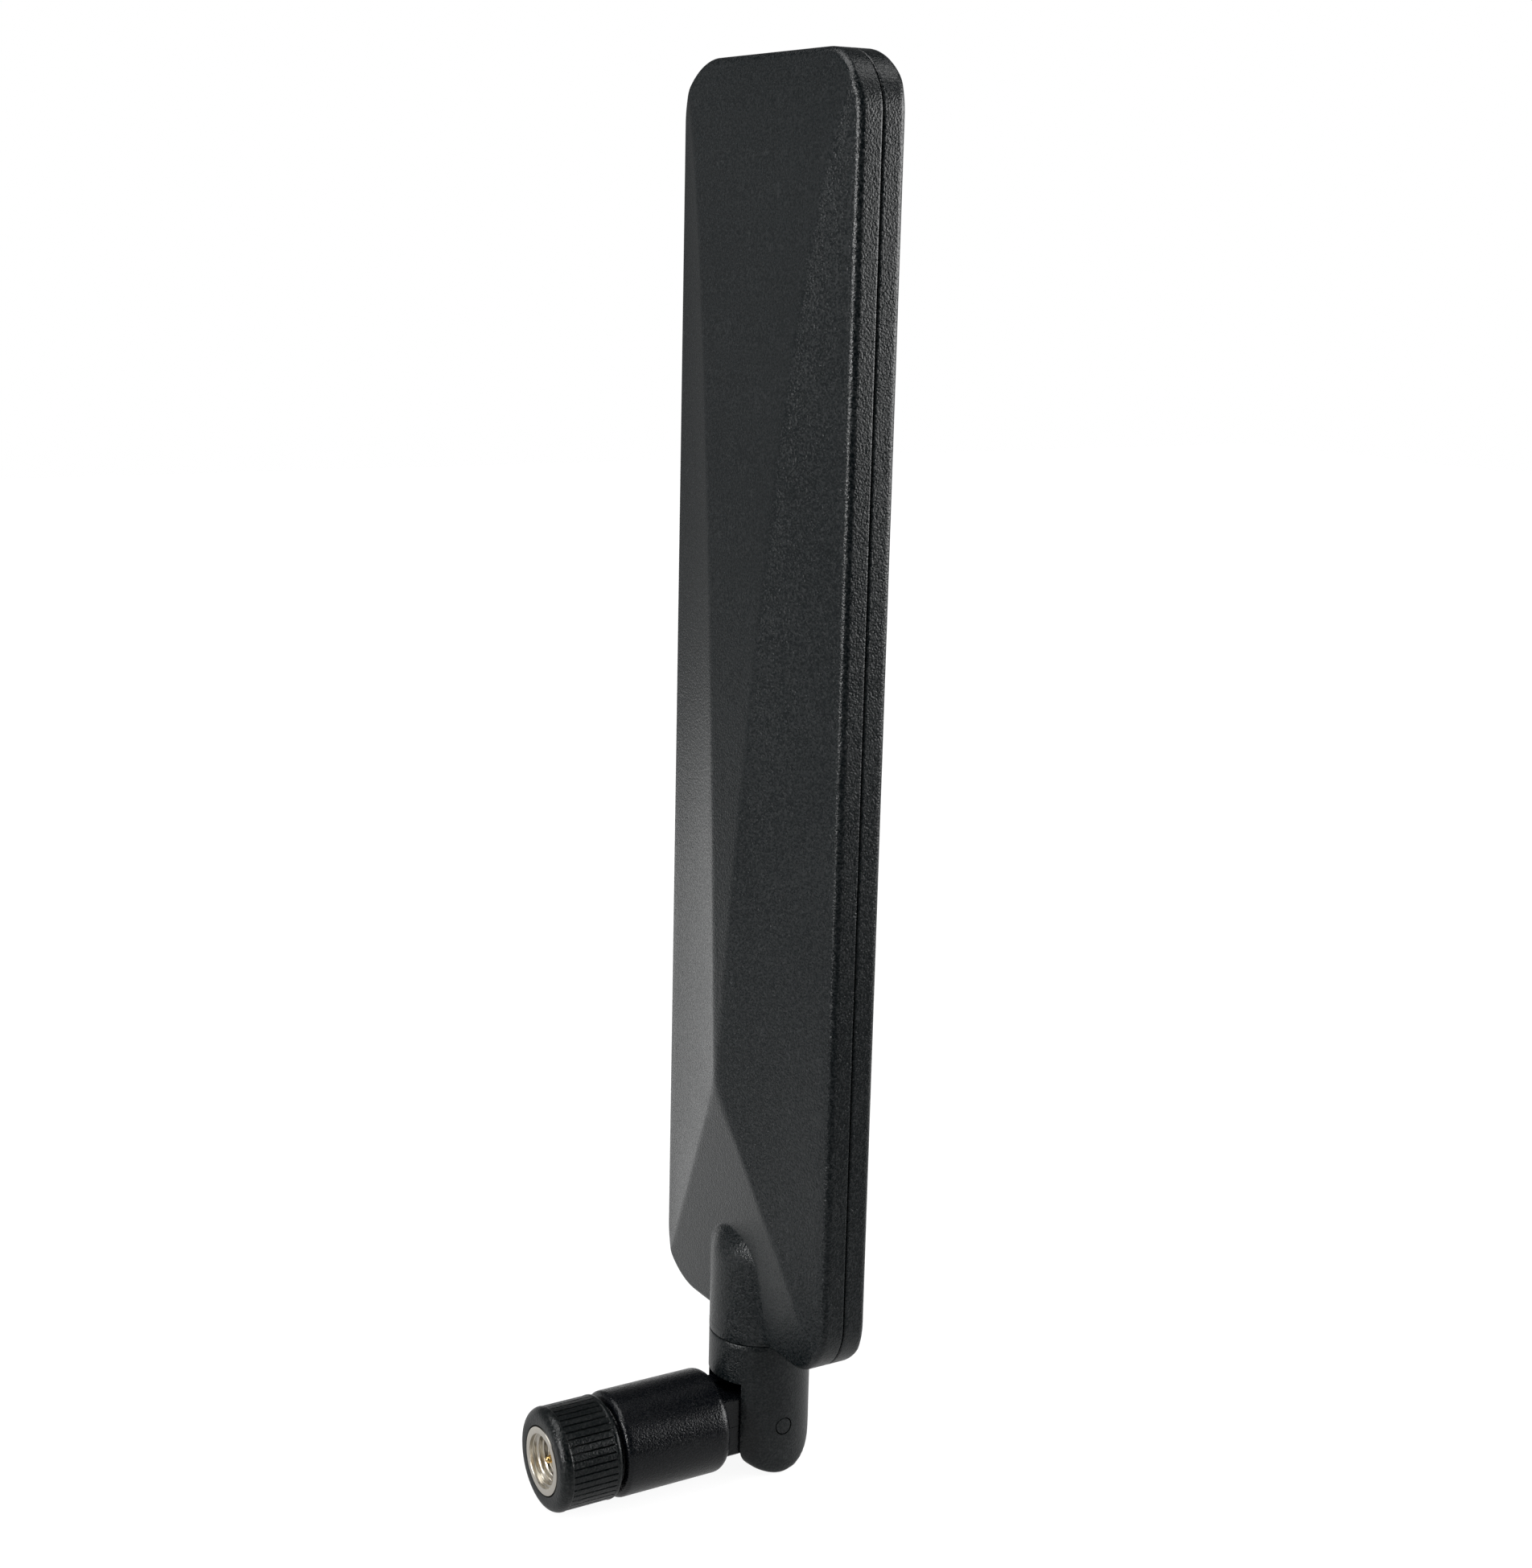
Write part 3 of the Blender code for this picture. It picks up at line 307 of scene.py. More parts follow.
def face_depth(across, height, boss):
    """How far the face stands from the seam: the lowest of the facets, then the boss. The side facets
    are hollow between the edge and their crease, and the crown's peak is a little rounded."""
    aside = math.sqrt(across * across + 0.09) - 0.3
    share = crown_share(height)
    into = blade_half - aside
    width = max(blade_half * share, into, 1.0)
    slope = edge_half + facet_slope * into - facet_hollow * into * (1 - into / width)
    rise = facet_slope * blade_half
    crown = edge_half + rise * share
    if abs(height - apex_height) < apex_reach:
        crown -= rise * 0.018 * (1 - abs(height - apex_height) / apex_reach) ** 2
    depth = soft_least(slope, crown, crease_round)
    if not boss or abs(across) > 9.0 or height > boss_top:
        return depth
    return -soft_least(-depth, -boss_depth(across, height, crown), boss_fillet)


def boss_foot(height):
    """Where the boss's flank meets the facet."""
    return boss_flank * math.sqrt(max(1 - (max(height - boss_nose, 0.0) / nose_length) ** 2, 0.0))


def boss_depth(across, height, base):
    """The boss in front of the facet: round with a domed nose, and a flat flank down to the facet. On
    the side toward positive across the flank of the nose is bowed."""
    radius = math.sqrt(max(boss_radius ** 2 - max(height - boss_nose, 0.0) ** 2, 0.01))
    foot = boss_foot(height)
    span = math.hypot(foot, base)
    lean = 1.2
    if span > radius:
        lean = min(max(math.atan2(foot, base) - math.acos(radius / span), 0.02), 1.2)
    if across < 0:
        lean = max(lean, far_flank_lean)
    aside = abs(across)
    flank = radius / math.cos(lean) - aside * math.tan(lean)
    if aside < radius * math.sin(lean):
        flank = math.sqrt(radius ** 2 - aside ** 2)
    if across < 0 or height < boss_nose or radius - base < 0.1:
        return flank
    bow = (foot ** 2 + (radius - base) ** 2) / (2 * (radius - base))
    share = min((height - boss_nose) / bow_reach, 1.0)
    return flank * (1 - share) + (radius - bow + math.sqrt(max(bow ** 2 - aside ** 2, 0.0))) * share


def half_width(height, inset):
    corner = corner_radius - inset
    into = max(blade_bottom + corner_radius - height, height - blade_top + corner_radius, 0.0)
    return blade_half - corner_radius + math.sqrt(max(corner ** 2 - into ** 2, 0.0))


def row_heights(inset, fine):
    """Heights of the rows, close together round the corners and over the boss."""
    corner = corner_radius - inset
    turns = 26 if fine else 8
    arc = [corner * math.cos(math.pi / 2 * index / turns) for index in range(turns)]
    low, high = blade_bottom + corner_radius, blade_top - corner_radius
    rows = [low - step for step in arc]
    height = low
    while height < high - 0.3:
        rows.append(height)
        height += (0.2 if height < boss_top else 1.5) if fine else 5.0
    return rows + [high + step for step in reversed(arc)]


def stations(height, reach, fine):
    """Where the columns stand, with a close group of them along the crease."""
    crease = min(max(blade_half * (1 - crown_share(height)), 2.4), reach - 1.0)
    if not fine:
        marks = [crease * index / 3 for index in range(4)] + [(crease + reach) / 2, reach]
        return [-mark for mark in reversed(marks[1:])] + marks
    spread = min(1.0, 0.2 * crease, (reach - crease) / 1.2)
    near = min(7.4, 0.8 * crease)
    foot = min(max(boss_foot(height), 1.6), 0.85 * near)
    start, end = crease - 0.9 * spread, crease + 0.9 * spread
    marks = [foot * index / 20 for index in range(20)]
    marks += [foot + (near - foot) * index / 6 for index in range(6)]
    marks += [near + (start - near) * index / 6 for index in range(6)]
    marks += [start + (end - start) * index / 6 for index in range(6)]
    marks += [end + (reach - end) * index / 8 for index in range(9)]
    return [-mark for mark in reversed(marks[1:])] + marks


def outward(across, height):
    """The direction square to the blade's outline."""
    centre = math.copysign(blade_half - corner_radius, across)
    level = min(max(height, blade_bottom + corner_radius), blade_top - corner_radius)
    one = across - centre if abs(across) > abs(centre) + 1e-6 else 0.0
    two = height - level
    length = math.hypot(one, two)
    return (one / length, two / length) if length > 1e-9 else (math.copysign(1.0, across), 0.0)


def shell_body(name, side, inset, fine):
    """One half of the blade as a closed form: its face, its rounded edge, its side and its back."""
    rounding = edge_round if fine else 0.3
    points = []
    rows = row_heights(inset + rounding, fine)
    for height in rows:
        reach = half_width(height, inset + rounding)
        for across in stations(height, reach, fine):
            points.append((across, face_depth(across, height, fine) - inset, height))
    width = len(points) // len(rows)
    faces = []
    for row in range(len(rows) - 1):
        for column in range(width - 1):
            first = row * width + column
            faces.append((first, first + 1, first + width + 1, first + width))
    last = (len(rows) - 1) * width
    border = list(range(width)) + [row * width + width - 1 for row in range(1, len(rows))]
    border += list(range(last + width - 2, last - 1, -1))
    border += [row * width for row in range(len(rows) - 2, 0, -1)]
    rings = [(rounding * math.sin(angle), rounding * (1 - math.cos(angle)), None)
             for angle in (math.pi / 2 * index / 6 for index in range(1, 7))]
    if fine:
        rings += [(rounding, 0.0, edge_half - rounding - 0.15), (rounding, 0.0, seam_half + 0.30),
                  (rounding, 0.0, seam_half + 0.2), (rounding - 0.02, 0.0, seam_half + 0.11),
                  (rounding - 0.06, 0.0, seam_half + 0.05), (rounding - 0.13, 0.0, seam_half + 0.01),
                  (rounding - 0.2, 0.0, seam_half)]
    else:
        rings.append((rounding, 0.0, -2.0))
    before = border
    for out, drop, level in rings:
        ring = []
        for index in border:
            across, depth, height = points[index]
            aside, up = outward(across, height)
            across += aside * out
            height += up * out
            depth = level if level is not None else face_depth(across, height, fine) - inset - drop
            ring.append(len(points))
            points.append((across, depth, height))
        for index in range(len(border)):
            turn = (index + 1) % len(border)
            faces.append((before[index], before[turn], ring[turn], ring[index]))
        before = ring
    faces.append(tuple(before))
    return piece_from(name, [(x, side * y, z) for x, y, z in points], faces, hinge)


def seam_loop(inset, depth):
    loop = []
    for across, top, start in ((1, True, 0), (-1, True, 90), (-1, False, 180), (1, False, 270)):
        level = blade_top - corner_radius if top else blade_bottom + corner_radius
        for index in range(13):
            angle = math.radians(start + 90 * index / 12)
            reach = corner_radius - inset
            loop.append((across * (blade_half - corner_radius) + reach * math.cos(angle), depth,
                         level + reach * math.sin(angle)))
    return loop


def seam_band(outer, inner, depth):
    """The tongue that runs round the seam, open where the boss stands."""
    band = lofted("band", [seam_loop(outer, 0.6), seam_loop(outer, -depth), seam_loop(inner, -depth),
                           seam_loop(inner, 0.6)], ring=True)
    return carve(band, block((-7.6, -9.0, 9.0), (7.6, 9.0, 14.2)))


def shell(name, side):
    """One shell. Its boss goes on below its edge, over the fork, and inside it are a bore for the
    fork's spigot, a pocket for its square key and four posts for the board."""
    body = shell_body(name, side, 0.0, True)
    stub = []
    for level, radius in ((boss_bottom, 5.99), (boss_bottom + 0.03, 6.06), (boss_bottom + 0.1, 6.09),
                          (11.6, 6.09)):
        loop = []
        for index in range(49):
            angle = math.pi * index / 48
            deep = seam_half + 0.02 + (radius - seam_half) * math.sin(angle)
            loop.append((radius * math.cos(angle), side * deep, level))
        stub.append(loop)
    carve(body, lofted("stub", stub), "UNION")
    hollow = shell_body("hollow", side, shell_wall, False)
    carve(hollow, rod(boss_radius - 0.4, 5.0, boss_top))
    carve(hollow, rod(spigot_bore, 5.0, 27.2), "UNION")
    carve(hollow, block((-key_pocket, -key_pocket, 12.85), (key_pocket, key_pocket, 14.95)), "UNION")
    for across in (-9.0, 9.0):
        for height in (34.0, 141.6):
            carve(hollow, rod(post_radius, side * 0.55, side * 9.0, "Y", (across, height), 24))
            if side < 0:
                carve(hollow, rod(post_hole, -0.24, -2.0, "Y", (across, height), 24))
    carve(body, hollow)
    if side > 0:
        carve(body, seam_band(0.55, 1.05, 0.8), "UNION")
    else:
        carve(body, seam_band(0.40, 1.20, 1.1))
    return body


def shaded(piece, angle=35.0):
    """Smooth shading that keeps its sharp edges."""
    piece.data.shade_smooth()
    piece.data.set_sharp_from_angle(angle=math.radians(angle))


def eased(piece, width, segments=2, angle=40.0):
    """A fine round on every sharp edge, shaded flat beside it."""
    step = piece.modifiers.new("eased_edges", "BEVEL")
    step.width = width * 0.001
    step.segments = segments
    step.limit_method = "ANGLE"
    step.angle_limit = math.radians(angle)
    step.harden_normals = True
    shaded(piece, 75.0)


def group_with(name, inputs, outputs):
    group = bpy.data.node_groups.new(name, "ShaderNodeTree")
    for socket, value in inputs.items():
        made = group.interface.new_socket(socket, in_out="INPUT", socket_type="NodeSocketFloat")
        made.default_value = value
    for socket in outputs:
        group.interface.new_socket(socket, in_out="OUTPUT", socket_type="NodeSocketFloat")
    return group, group.nodes.new("NodeGroupInput"), group.nodes.new("NodeGroupOutput")


def noise_in(nodes, links, place, scale, detail, roughness=0.55):
    made = nodes.new("ShaderNodeTexNoise")
    made.inputs["Detail"].default_value = detail
    made.inputs["Roughness"].default_value = roughness
    links.new(place, made.inputs["Vector"])
    if isinstance(scale, (int, float)):
        made.inputs["Scale"].default_value = scale
    else:
        links.new(scale, made.inputs["Scale"])
    return made.outputs["Fac"]


# The spark-eroded mould face: pits and peaks a fraction of a millimetre across on every moulding,
# with painted glints, the peaks painted paler, and with slow random differences of tone and sheen
# over the part and a little fine dust.
grain, grain_in, grain_out = group_with("spark_eroded_grain", {"Grain per metre": 4500.0},
                                        ["Height", "Tone and painted glints", "Dust"])
nodes, links = grain.nodes, grain.links
place = nodes.new("ShaderNodeTexCoord").outputs["Object"]
grain_scale = grain_in.outputs["Grain per metre"]
fine_noise = noise_in(nodes, links, place, grain_scale, 2.0, 0.6)
coarse_scale = math_in(nodes, links, "MULTIPLY", grain_scale, 0.35)
coarse_noise = noise_in(nodes, links, place, coarse_scale, 2.0, 0.5)
pits = nodes.new("ShaderNodeTexVoronoi")
pits.feature = "SMOOTH_F1"
pits.inputs["Smoothness"].default_value = 0.6
links.new(place, pits.inputs["Vector"])
links.new(grain_scale, pits.inputs["Scale"])
relief = math_in(nodes, links, "ADD", fine_noise,
                 math_in(nodes, links, "MULTIPLY", pits.outputs["Distance"], 0.55))
relief = math_in(nodes, links, "ADD", relief, math_in(nodes, links, "MULTIPLY", coarse_noise, 0.4))
links.new(math_in(nodes, links, "MULTIPLY", relief, 0.6), grain_out.inputs["Height"])
cloud = math_in(nodes, links, "MULTIPLY", noise_in(nodes, links, place, 55.0, 4.0, 0.6), 0.7)
# Painted glints: the fine grain's peaks are painted paler in the colour.
painted_glints = math_in(nodes, links, "MULTIPLY", math_in(nodes, links, "SUBTRACT", fine_noise, 0.5), 4.0)
links.new(math_in(nodes, links, "ADD", cloud, painted_glints), grain_out.inputs["Tone and painted glints"])
fleck = math_in(nodes, links, "SUBTRACT", noise_in(nodes, links, place, 900.0, 1.0), 0.68)
links.new(math_in(nodes, links, "MULTIPLY", fleck, 9.0, clamp=True), grain_out.inputs["Dust"])


def moulded(name, colour, pale, roughness, specular, grain_size, depth, strength):
    """Black moulded plastic with the spark-eroded grain. Its size and depth are in millimetres."""
    made = bpy.data.materials.new(name)
    made.use_nodes = True
    nodes, links = made.node_tree.nodes, made.node_tree.links
    shader = nodes["Principled BSDF"]
    shader.inputs["Specular IOR Level"].default_value = specular
    surface = nodes.new("ShaderNodeGroup")
    surface.node_tree = grain
    surface.inputs["Grain per metre"].default_value = 1000.0 / grain_size
    # The colour is paler in slow random clouds and on dust flecks, and paler on the grain's peaks as painted
    # glints.
    tint = nodes.new("ShaderNodeMix")
    tint.data_type = "RGBA"
    tint.inputs["A"].default_value = (*colour, 1.0)
    tint.inputs["B"].default_value = (*pale, 1.0)
    amount = math_in(nodes, links, "ADD", math_in(nodes, links, "MULTIPLY", surface.outputs["Tone and painted glints"], 0.7),
                     math_in(nodes, links, "MULTIPLY", surface.outputs["Dust"], 0.5), clamp=True)
    links.new(amount, tint.inputs["Factor"])
    links.new(tint.outputs["Result"], shader.inputs["Base Color"])
    rough = nodes.new("ShaderNodeMapRange")
    rough.inputs["To Min"].default_value = roughness - 0.05
    rough.inputs["To Max"].default_value = roughness + 0.05
    rough.inputs["From Min"].default_value = 0.3
    rough.inputs["From Max"].default_value = 0.7
    links.new(surface.outputs["Tone and painted glints"], rough.inputs["Value"])
    links.new(rough.outputs["Result"], shader.inputs["Roughness"])
    bump = nodes.new("ShaderNodeBump")
    bump.inputs["Strength"].default_value = strength
    bump.inputs["Distance"].default_value = depth * 0.001
    links.new(surface.outputs["Height"], bump.inputs["Height"])
    links.new(bump.outputs["Normal"], shader.inputs["Normal"])
    return made


def dress(piece, look, body, slot, *nodes_replaced):
    """Give a new piece its finish, its body and the solids that it stands for. The slot name is not used."""
    piece.data.materials.clear()
    piece.data.materials.append(look)
    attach(piece, body)
    if nodes_replaced:
        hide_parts(*nodes_replaced)


shell_black = moulded("shell_black", (0.0004, 0.0024, 0.0034), (0.0200, 0.0224, 0.0236), 0.31,
                      specular=0.5, grain_size=0.24, depth=0.12, strength=0.8)
for name, side in (("front_shell_moulding", -1), ("rear_shell_moulding", 1)):
    moulding = shell(name, side)
    shaded(moulding, 28.0)
    dress(moulding, shell_black, "blade", "matte_black", name.replace("_moulding", ""))

# Fork: one nylon moulding under the boss. Its spigot and square key are clamped in the shells, and
# its two round-ended ears carry the hinge pins. A hole down its middle passes the cable.
fork_radius = 6.1
ear_radius = 6.15
fork_top = 10.48
slot_half = 3.85
slot_round = 4.0
spigot_radius = 3.0
key_half = 3.3
cable_hole = 1.25
pin_radius = 1.05
pin_hole = 1.10


def fork_reach(aside, deep, down):
    """How far the fork's skin is from the hinge centre in a direction below it."""
    near, far = 3.0, 9.0
    for _ in range(26):
        middle = (near + far) / 2
        x, y, z = aside * middle, deep * middle, down * middle
        round_side = math.hypot(x, y) - fork_radius
        round_foot = math.hypot(y, z) - ear_radius
        reach = max(min(0.7, 0.45 * -z), 0.001)
        if -soft_least(-round_side, -round_foot, reach) < 0:
            near = middle
        else:
            far = middle
    return near


def ear_side(across):
    """The slot seen along the pin: open in front and below, round behind the tongue."""
    profile = [(-12.0, -13.0), (slot_round, -13.0), (slot_round, 0.0)]
    profile += [(slot_round * math.cos(math.radians(angle)), slot_round * math.sin(math.radians(angle)))
                for angle in range(6, 90, 6)]
    profile += [(0.0, slot_round), (-0.6, 5.5), (-12.0, 5.5)]
    return [(across, deep, up) for deep, up in profile]


fork_loops = [circle(fork_radius - 0.13, fork_top, 96), circle(fork_radius - 0.04, fork_top - 0.03, 96)]
fork_loops += [circle(fork_radius, level, 96) for level in (fork_top - 0.1, 9.8, 7.5, 5.0, 2.5, 0.8, 0.0)]
for index in range(1, 31):
    lean = math.radians(87.0 * index / 30)
    loop = []
    for across, deep, _ in circle(1.0, 0.0, 96):
        aside, back, down = across * math.cos(lean), deep * math.cos(lean), -math.sin(lean)
        reach = fork_reach(aside, back, down)
        loop.append((aside * reach, back * reach, down * reach))
    fork_loops.append(loop)
fork = lofted("fork_moulding", fork_loops)
carve(fork, lofted("slot", [ear_side(-slot_half), ear_side(slot_half)]))
carve(fork, rod(spigot_radius, 6.0, 18.0), "UNION")
carve(fork, block((-key_half, -key_half, 13.0), (key_half, key_half, 14.8)), "UNION")
carve(fork, rod(cable_hole, 2.0, 20.0))
carve(fork, rod(pin_hole, -8.0, 8.0, "X"))
eased(fork, 0.14, 3, 42.0)
fork_black = moulded("fork_black", (0.0003, 0.0022, 0.0030), (0.0200, 0.0222, 0.0230), 0.33,
                     specular=0.42, grain_size=0.22, depth=0.10, strength=0.8)
dress(fork, fork_black, "blade", "matte_black", "fork")

# Hinge pins: two short black pins pressed in from the sides, flush with the fork's round flanks and
# with a chamfer that shows as a fine dark circle. The cable passes between them.
for name, side in (("hinge_pin_left", -1), ("hinge_pin_right", 1)):
    pin_loops = [circle(pin_radius - 0.15, side * 2.04, 40, "X"), circle(pin_radius, side * 2.2, 40, "X")]
    for radius, sink in ((pin_radius, 0.26), (1.01, 0.12), (0.95, 0.03), (0.6, 0.02), (0.3, 0.02)):
        pin_loops.append([(side * (math.sqrt(fork_radius ** 2 - deep ** 2) - sink), deep, up)
                          for _, deep, up in circle(radius, 0.0, 40, "X")])
    pin = lofted(name + "_pressed", pin_loops)
    shaded(pin)
    dress(pin, fork_black, "blade", "matte_black", name)

# Knuckle: a nylon barrel that turns on the plug's shank, with a tongue between the fork's ears. Its
# rounded front face leaves a dark gap behind the nut's cap. A channel through the tongue leads the
# cable from the barrel up into the fork. Sizes are in millimetres from the plug's mouth.
mouth = (0.0, 0.0, 0.0)
barrel_front = 7.85
barrel_rear = 22.1
barrel_radius = 6.22
front_round = 0.7
rear_round = 1.15
tongue_half = 3.6
tongue_radius = 3.7
channel_half = 1.3


def turned(name, rows, steps):
    """A ring turned about the plug's axis. A row's radius is a number or goes round as a function."""
    loops = []
    for radius, along in rows:
        loop = []
        for index in range(steps):
            angle = 2 * math.pi * index / steps
            reach = radius(angle) if callable(radius) else radius
            loop.append((reach * math.cos(angle), along, reach * math.sin(angle)))
        loops.append(loop)
    return lofted(name, loops, mouth, ring=True)


def round_corner(radius, along, size, start, end, steps):
    """Rows round a corner whose centre is at a radius and a place along the axis."""
    return [(radius + size * math.cos(math.radians(start + (end - start) * index / steps)),
             along + size * math.sin(math.radians(start + (end - start) * index / steps)))
            for index in range(steps + 1)]


rows = round_corner(barrel_radius - rear_round, barrel_rear - rear_round, rear_round, 90, 0, 9)
rows += [(barrel_radius, barrel_rear - 1.8), (barrel_radius, 16.0), (barrel_radius, barrel_front + 1.4)]
rows += round_corner(barrel_radius - front_round, barrel_front + 1.1, front_round, 0, -90, 8)
rows += [(5.1, barrel_front + 0.4), (4.9, barrel_front + 0.1), (4.8, barrel_front)]
rows += [(4.0, barrel_front), (3.75, barrel_front + 0.2), (3.75, 12.05), (4.25, 12.05), (4.25, 13.35),
         (3.75, 13.35), (3.75, 16.9), (2.9, 16.9), (2.9, 20.6), (1.3, 20.6), (1.3, barrel_rear)]
knuckle = turned("knuckle_moulding", rows, 112)


def tongue_side(across, swell):
    radius = tongue_radius + swell
    profile = [(19.9, radius)]
    profile += [(29.1 + radius * math.sin(math.radians(angle)), radius * math.cos(math.radians(angle)))
                for angle in range(0, 181, 6)]
    profile += [(19.9, -radius)]
    return [(across, along, up) for along, up in profile]


tongue = lofted("tongue", [tongue_side(-tongue_half, -0.25), tongue_side(0.25 - tongue_half, 0.0),
                           tongue_side(tongue_half - 0.25, 0.0), tongue_side(tongue_half, -0.25)], mouth)
carve(tongue, block((-tongue_half - 0.05, 20.5, -0.06), (tongue_half + 0.05, 32.0, 0.06), mouth), "UNION")
carve(knuckle, tongue, "UNION")
carve(knuckle, block((-channel_half, 19.0, -channel_half), (channel_half, 36.0, channel_half), mouth))
carve(knuckle, block((-channel_half, 23.7, 0.0), (channel_half, 36.0, 7.0), mouth))
carve(knuckle, rod(pin_hole, -8.0, 8.0, "X"))
eased(knuckle, 0.1, 2, 42.0)
barrel_black = moulded("barrel_black", (0.0002, 0.0009, 0.0022), (0.0092, 0.0100, 0.0114), 0.28,
                       specular=0.40, grain_size=0.22, depth=0.09, strength=0.75)
dress(knuckle, barrel_black, "knuckle", "satin_black", "knuckle")

# Connector body: turned brass with nickel plate. Its thin tube is the outer contact, its shank turns
# in the knuckle, and the cable's braid is crimped on its tail.
rows = [(1.1, 19.4), (1.1, 16.4), (3.6, 16.4), (3.6, 13.3), (3.05, 13.3), (3.05, 12.1), (3.6, 12.1),
        (3.6, 8.05), (2.55, 8.05), (2.55, 6.85), (2.0, 6.85), (2.0, 6.1), (2.55, 6.1), (2.55, 5.6),
        (2.3, 5.6), (2.3, 2.0), (2.24, 1.9), (2.12, 1.9), (2.08, 1.98), (2.08, 5.5), (1.7, 5.5),
        (1.7, 14.9), (0.53, 15.7), (0.53, 19.4)]
connector = turned("connector_turning", rows, 72)
eased(connector, 0.04)

# The lathe's marks and the plate's slight unevenness, for the metal pieces. The marks run round the
# plug's axis, so they follow the distance from it and the place along it.
turning, turning_in, turning_out = group_with("turned_marks", {"Marks per metre": 9000.0},
                                              ["Height", "Tarnish"])
nodes, links = turning.nodes, turning.links
place = nodes.new("ShaderNodeTexCoord").outputs["Object"]
split = nodes.new("ShaderNodeSeparateXYZ")
links.new(place, split.inputs["Vector"])
across_squared = math_in(nodes, links, "POWER", split.outputs["X"], 2.0)
up_squared = math_in(nodes, links, "POWER", split.outputs["Z"], 2.0)
distance = math_in(nodes, links, "POWER", math_in(nodes, links, "ADD", across_squared, up_squared), 0.5)
track = nodes.new("ShaderNodeCombineXYZ")
links.new(distance, track.inputs["X"])
links.new(split.outputs["Y"], track.inputs["Y"])
lines = noise_in(nodes, links, track.outputs["Vector"], turning_in.outputs["Marks per metre"], 2.0, 0.7)
links.new(lines, turning_out.inputs["Height"])
links.new(noise_in(nodes, links, place, 700.0, 4.0, 0.65), turning_out.inputs["Tarnish"])


def plated(name, colour, worn, roughness, spread, marks=9000.0, strength=0.25):
    """Plated or bare metal with turning marks and a faint tarnish."""
    made = bpy.data.materials.new(name)
    made.use_nodes = True
    nodes, links = made.node_tree.nodes, made.node_tree.links
    shader = nodes["Principled BSDF"]
    shader.inputs["Metallic"].default_value = 1.0
    surface = nodes.new("ShaderNodeGroup")
    surface.node_tree = turning
    surface.inputs["Marks per metre"].default_value = marks
    tint = nodes.new("ShaderNodeMix")
    tint.data_type = "RGBA"
    tint.inputs["A"].default_value = (*colour, 1.0)
    tint.inputs["B"].default_value = (*worn, 1.0)
    links.new(surface.outputs["Tarnish"], tint.inputs["Factor"])
    links.new(tint.outputs["Result"], shader.inputs["Base Color"])
    rough = nodes.new("ShaderNodeMapRange")
    rough.inputs["To Min"].default_value = roughness - spread
    rough.inputs["To Max"].default_value = roughness + spread
    links.new(surface.outputs["Tarnish"], rough.inputs["Value"])
    links.new(rough.outputs["Result"], shader.inputs["Roughness"])
    bump = nodes.new("ShaderNodeBump")
    bump.inputs["Strength"].default_value = strength
    bump.inputs["Distance"].default_value = 0.00001
    links.new(surface.outputs["Height"], bump.inputs["Height"])
    links.new(bump.outputs["Normal"], shader.inputs["Normal"])
    return made


nickel = plated("nickel_plate", (0.86, 0.82, 0.74), (0.72, 0.68, 0.60), 0.30, 0.08)
dress(connector, nickel, "plug", "nickel_plate", "connector_shell")

# Plug dielectric: a white fluoropolymer sleeve turned from bar, held in the connector body. Its front
# face stands a little behind the rim of the tube.
rows = [(1.6, 14.8), (1.6, 5.4), (1.98, 5.4), (1.98, 2.4), (1.9, 2.3), (0.6, 2.3), (0.51, 2.4), (0.51, 14.8)]
dielectric = turned("dielectric_turning", rows, 72)
eased(dielectric, 0.04)


def plain_polymer(name, colour, shade, roughness, specular, scale, strength):
    """An unpainted polymer, rubber or resin with a fine uneven surface."""
    made = bpy.data.materials.new(name)
    made.use_nodes = True
    nodes, links = made.node_tree.nodes, made.node_tree.links
    shader = nodes["Principled BSDF"]
    shader.inputs["Specular IOR Level"].default_value = specular
    place = nodes.new("ShaderNodeTexCoord").outputs["Object"]
    broad = noise_in(nodes, links, place, scale / 12, 3.0)
    tint = nodes.new("ShaderNodeMix")
    tint.data_type = "RGBA"
    tint.inputs["A"].default_value = (*colour, 1.0)
    tint.inputs["B"].default_value = (*shade, 1.0)
    links.new(broad, tint.inputs["Factor"])
    links.new(tint.outputs["Result"], shader.inputs["Base Color"])
    rough = nodes.new("ShaderNodeMapRange")
    rough.inputs["To Min"].default_value = roughness - 0.08
    rough.inputs["To Max"].default_value = roughness + 0.08
    links.new(broad, rough.inputs["Value"])
    links.new(rough.outputs["Result"], shader.inputs["Roughness"])
    bump = nodes.new("ShaderNodeBump")
    bump.inputs["Strength"].default_value = strength
    bump.inputs["Distance"].default_value = 0.00001
    links.new(noise_in(nodes, links, place, scale, 3.0), bump.inputs["Height"])
    links.new(bump.outputs["Normal"], shader.inputs["Normal"])
    return made


fluoropolymer = plain_polymer("fluoropolymer", (0.84, 0.84, 0.81), (0.74, 0.74, 0.70), 0.42, 0.4,
                              2500.0, 0.2)
dress(dielectric, fluoropolymer, "plug", "fluoropolymer", "plug_dielectric")

# Centre contact: a gold-plated brass pin with a rounded tip, pressed into the dielectric. The core
# of the cable is soldered into its rear end.
rows = [(0.02, 0.55), (0.12, 0.56), (0.25, 0.63), (0.36, 0.78), (0.43, 1.0), (0.46, 1.3), (0.46, 15.4),
        (0.23, 15.4), (0.23, 13.4), (0.02, 13.4)]
contact = turned("contact_pin", rows, 48)
shaded(contact, 40.0)
gold = plated("gold_plate", (0.90, 0.64, 0.26), (0.80, 0.54, 0.20), 0.20, 0.06, 6000.0, 0.15)
dress(contact, gold, "plug", "gold_plate", "centre_contact")

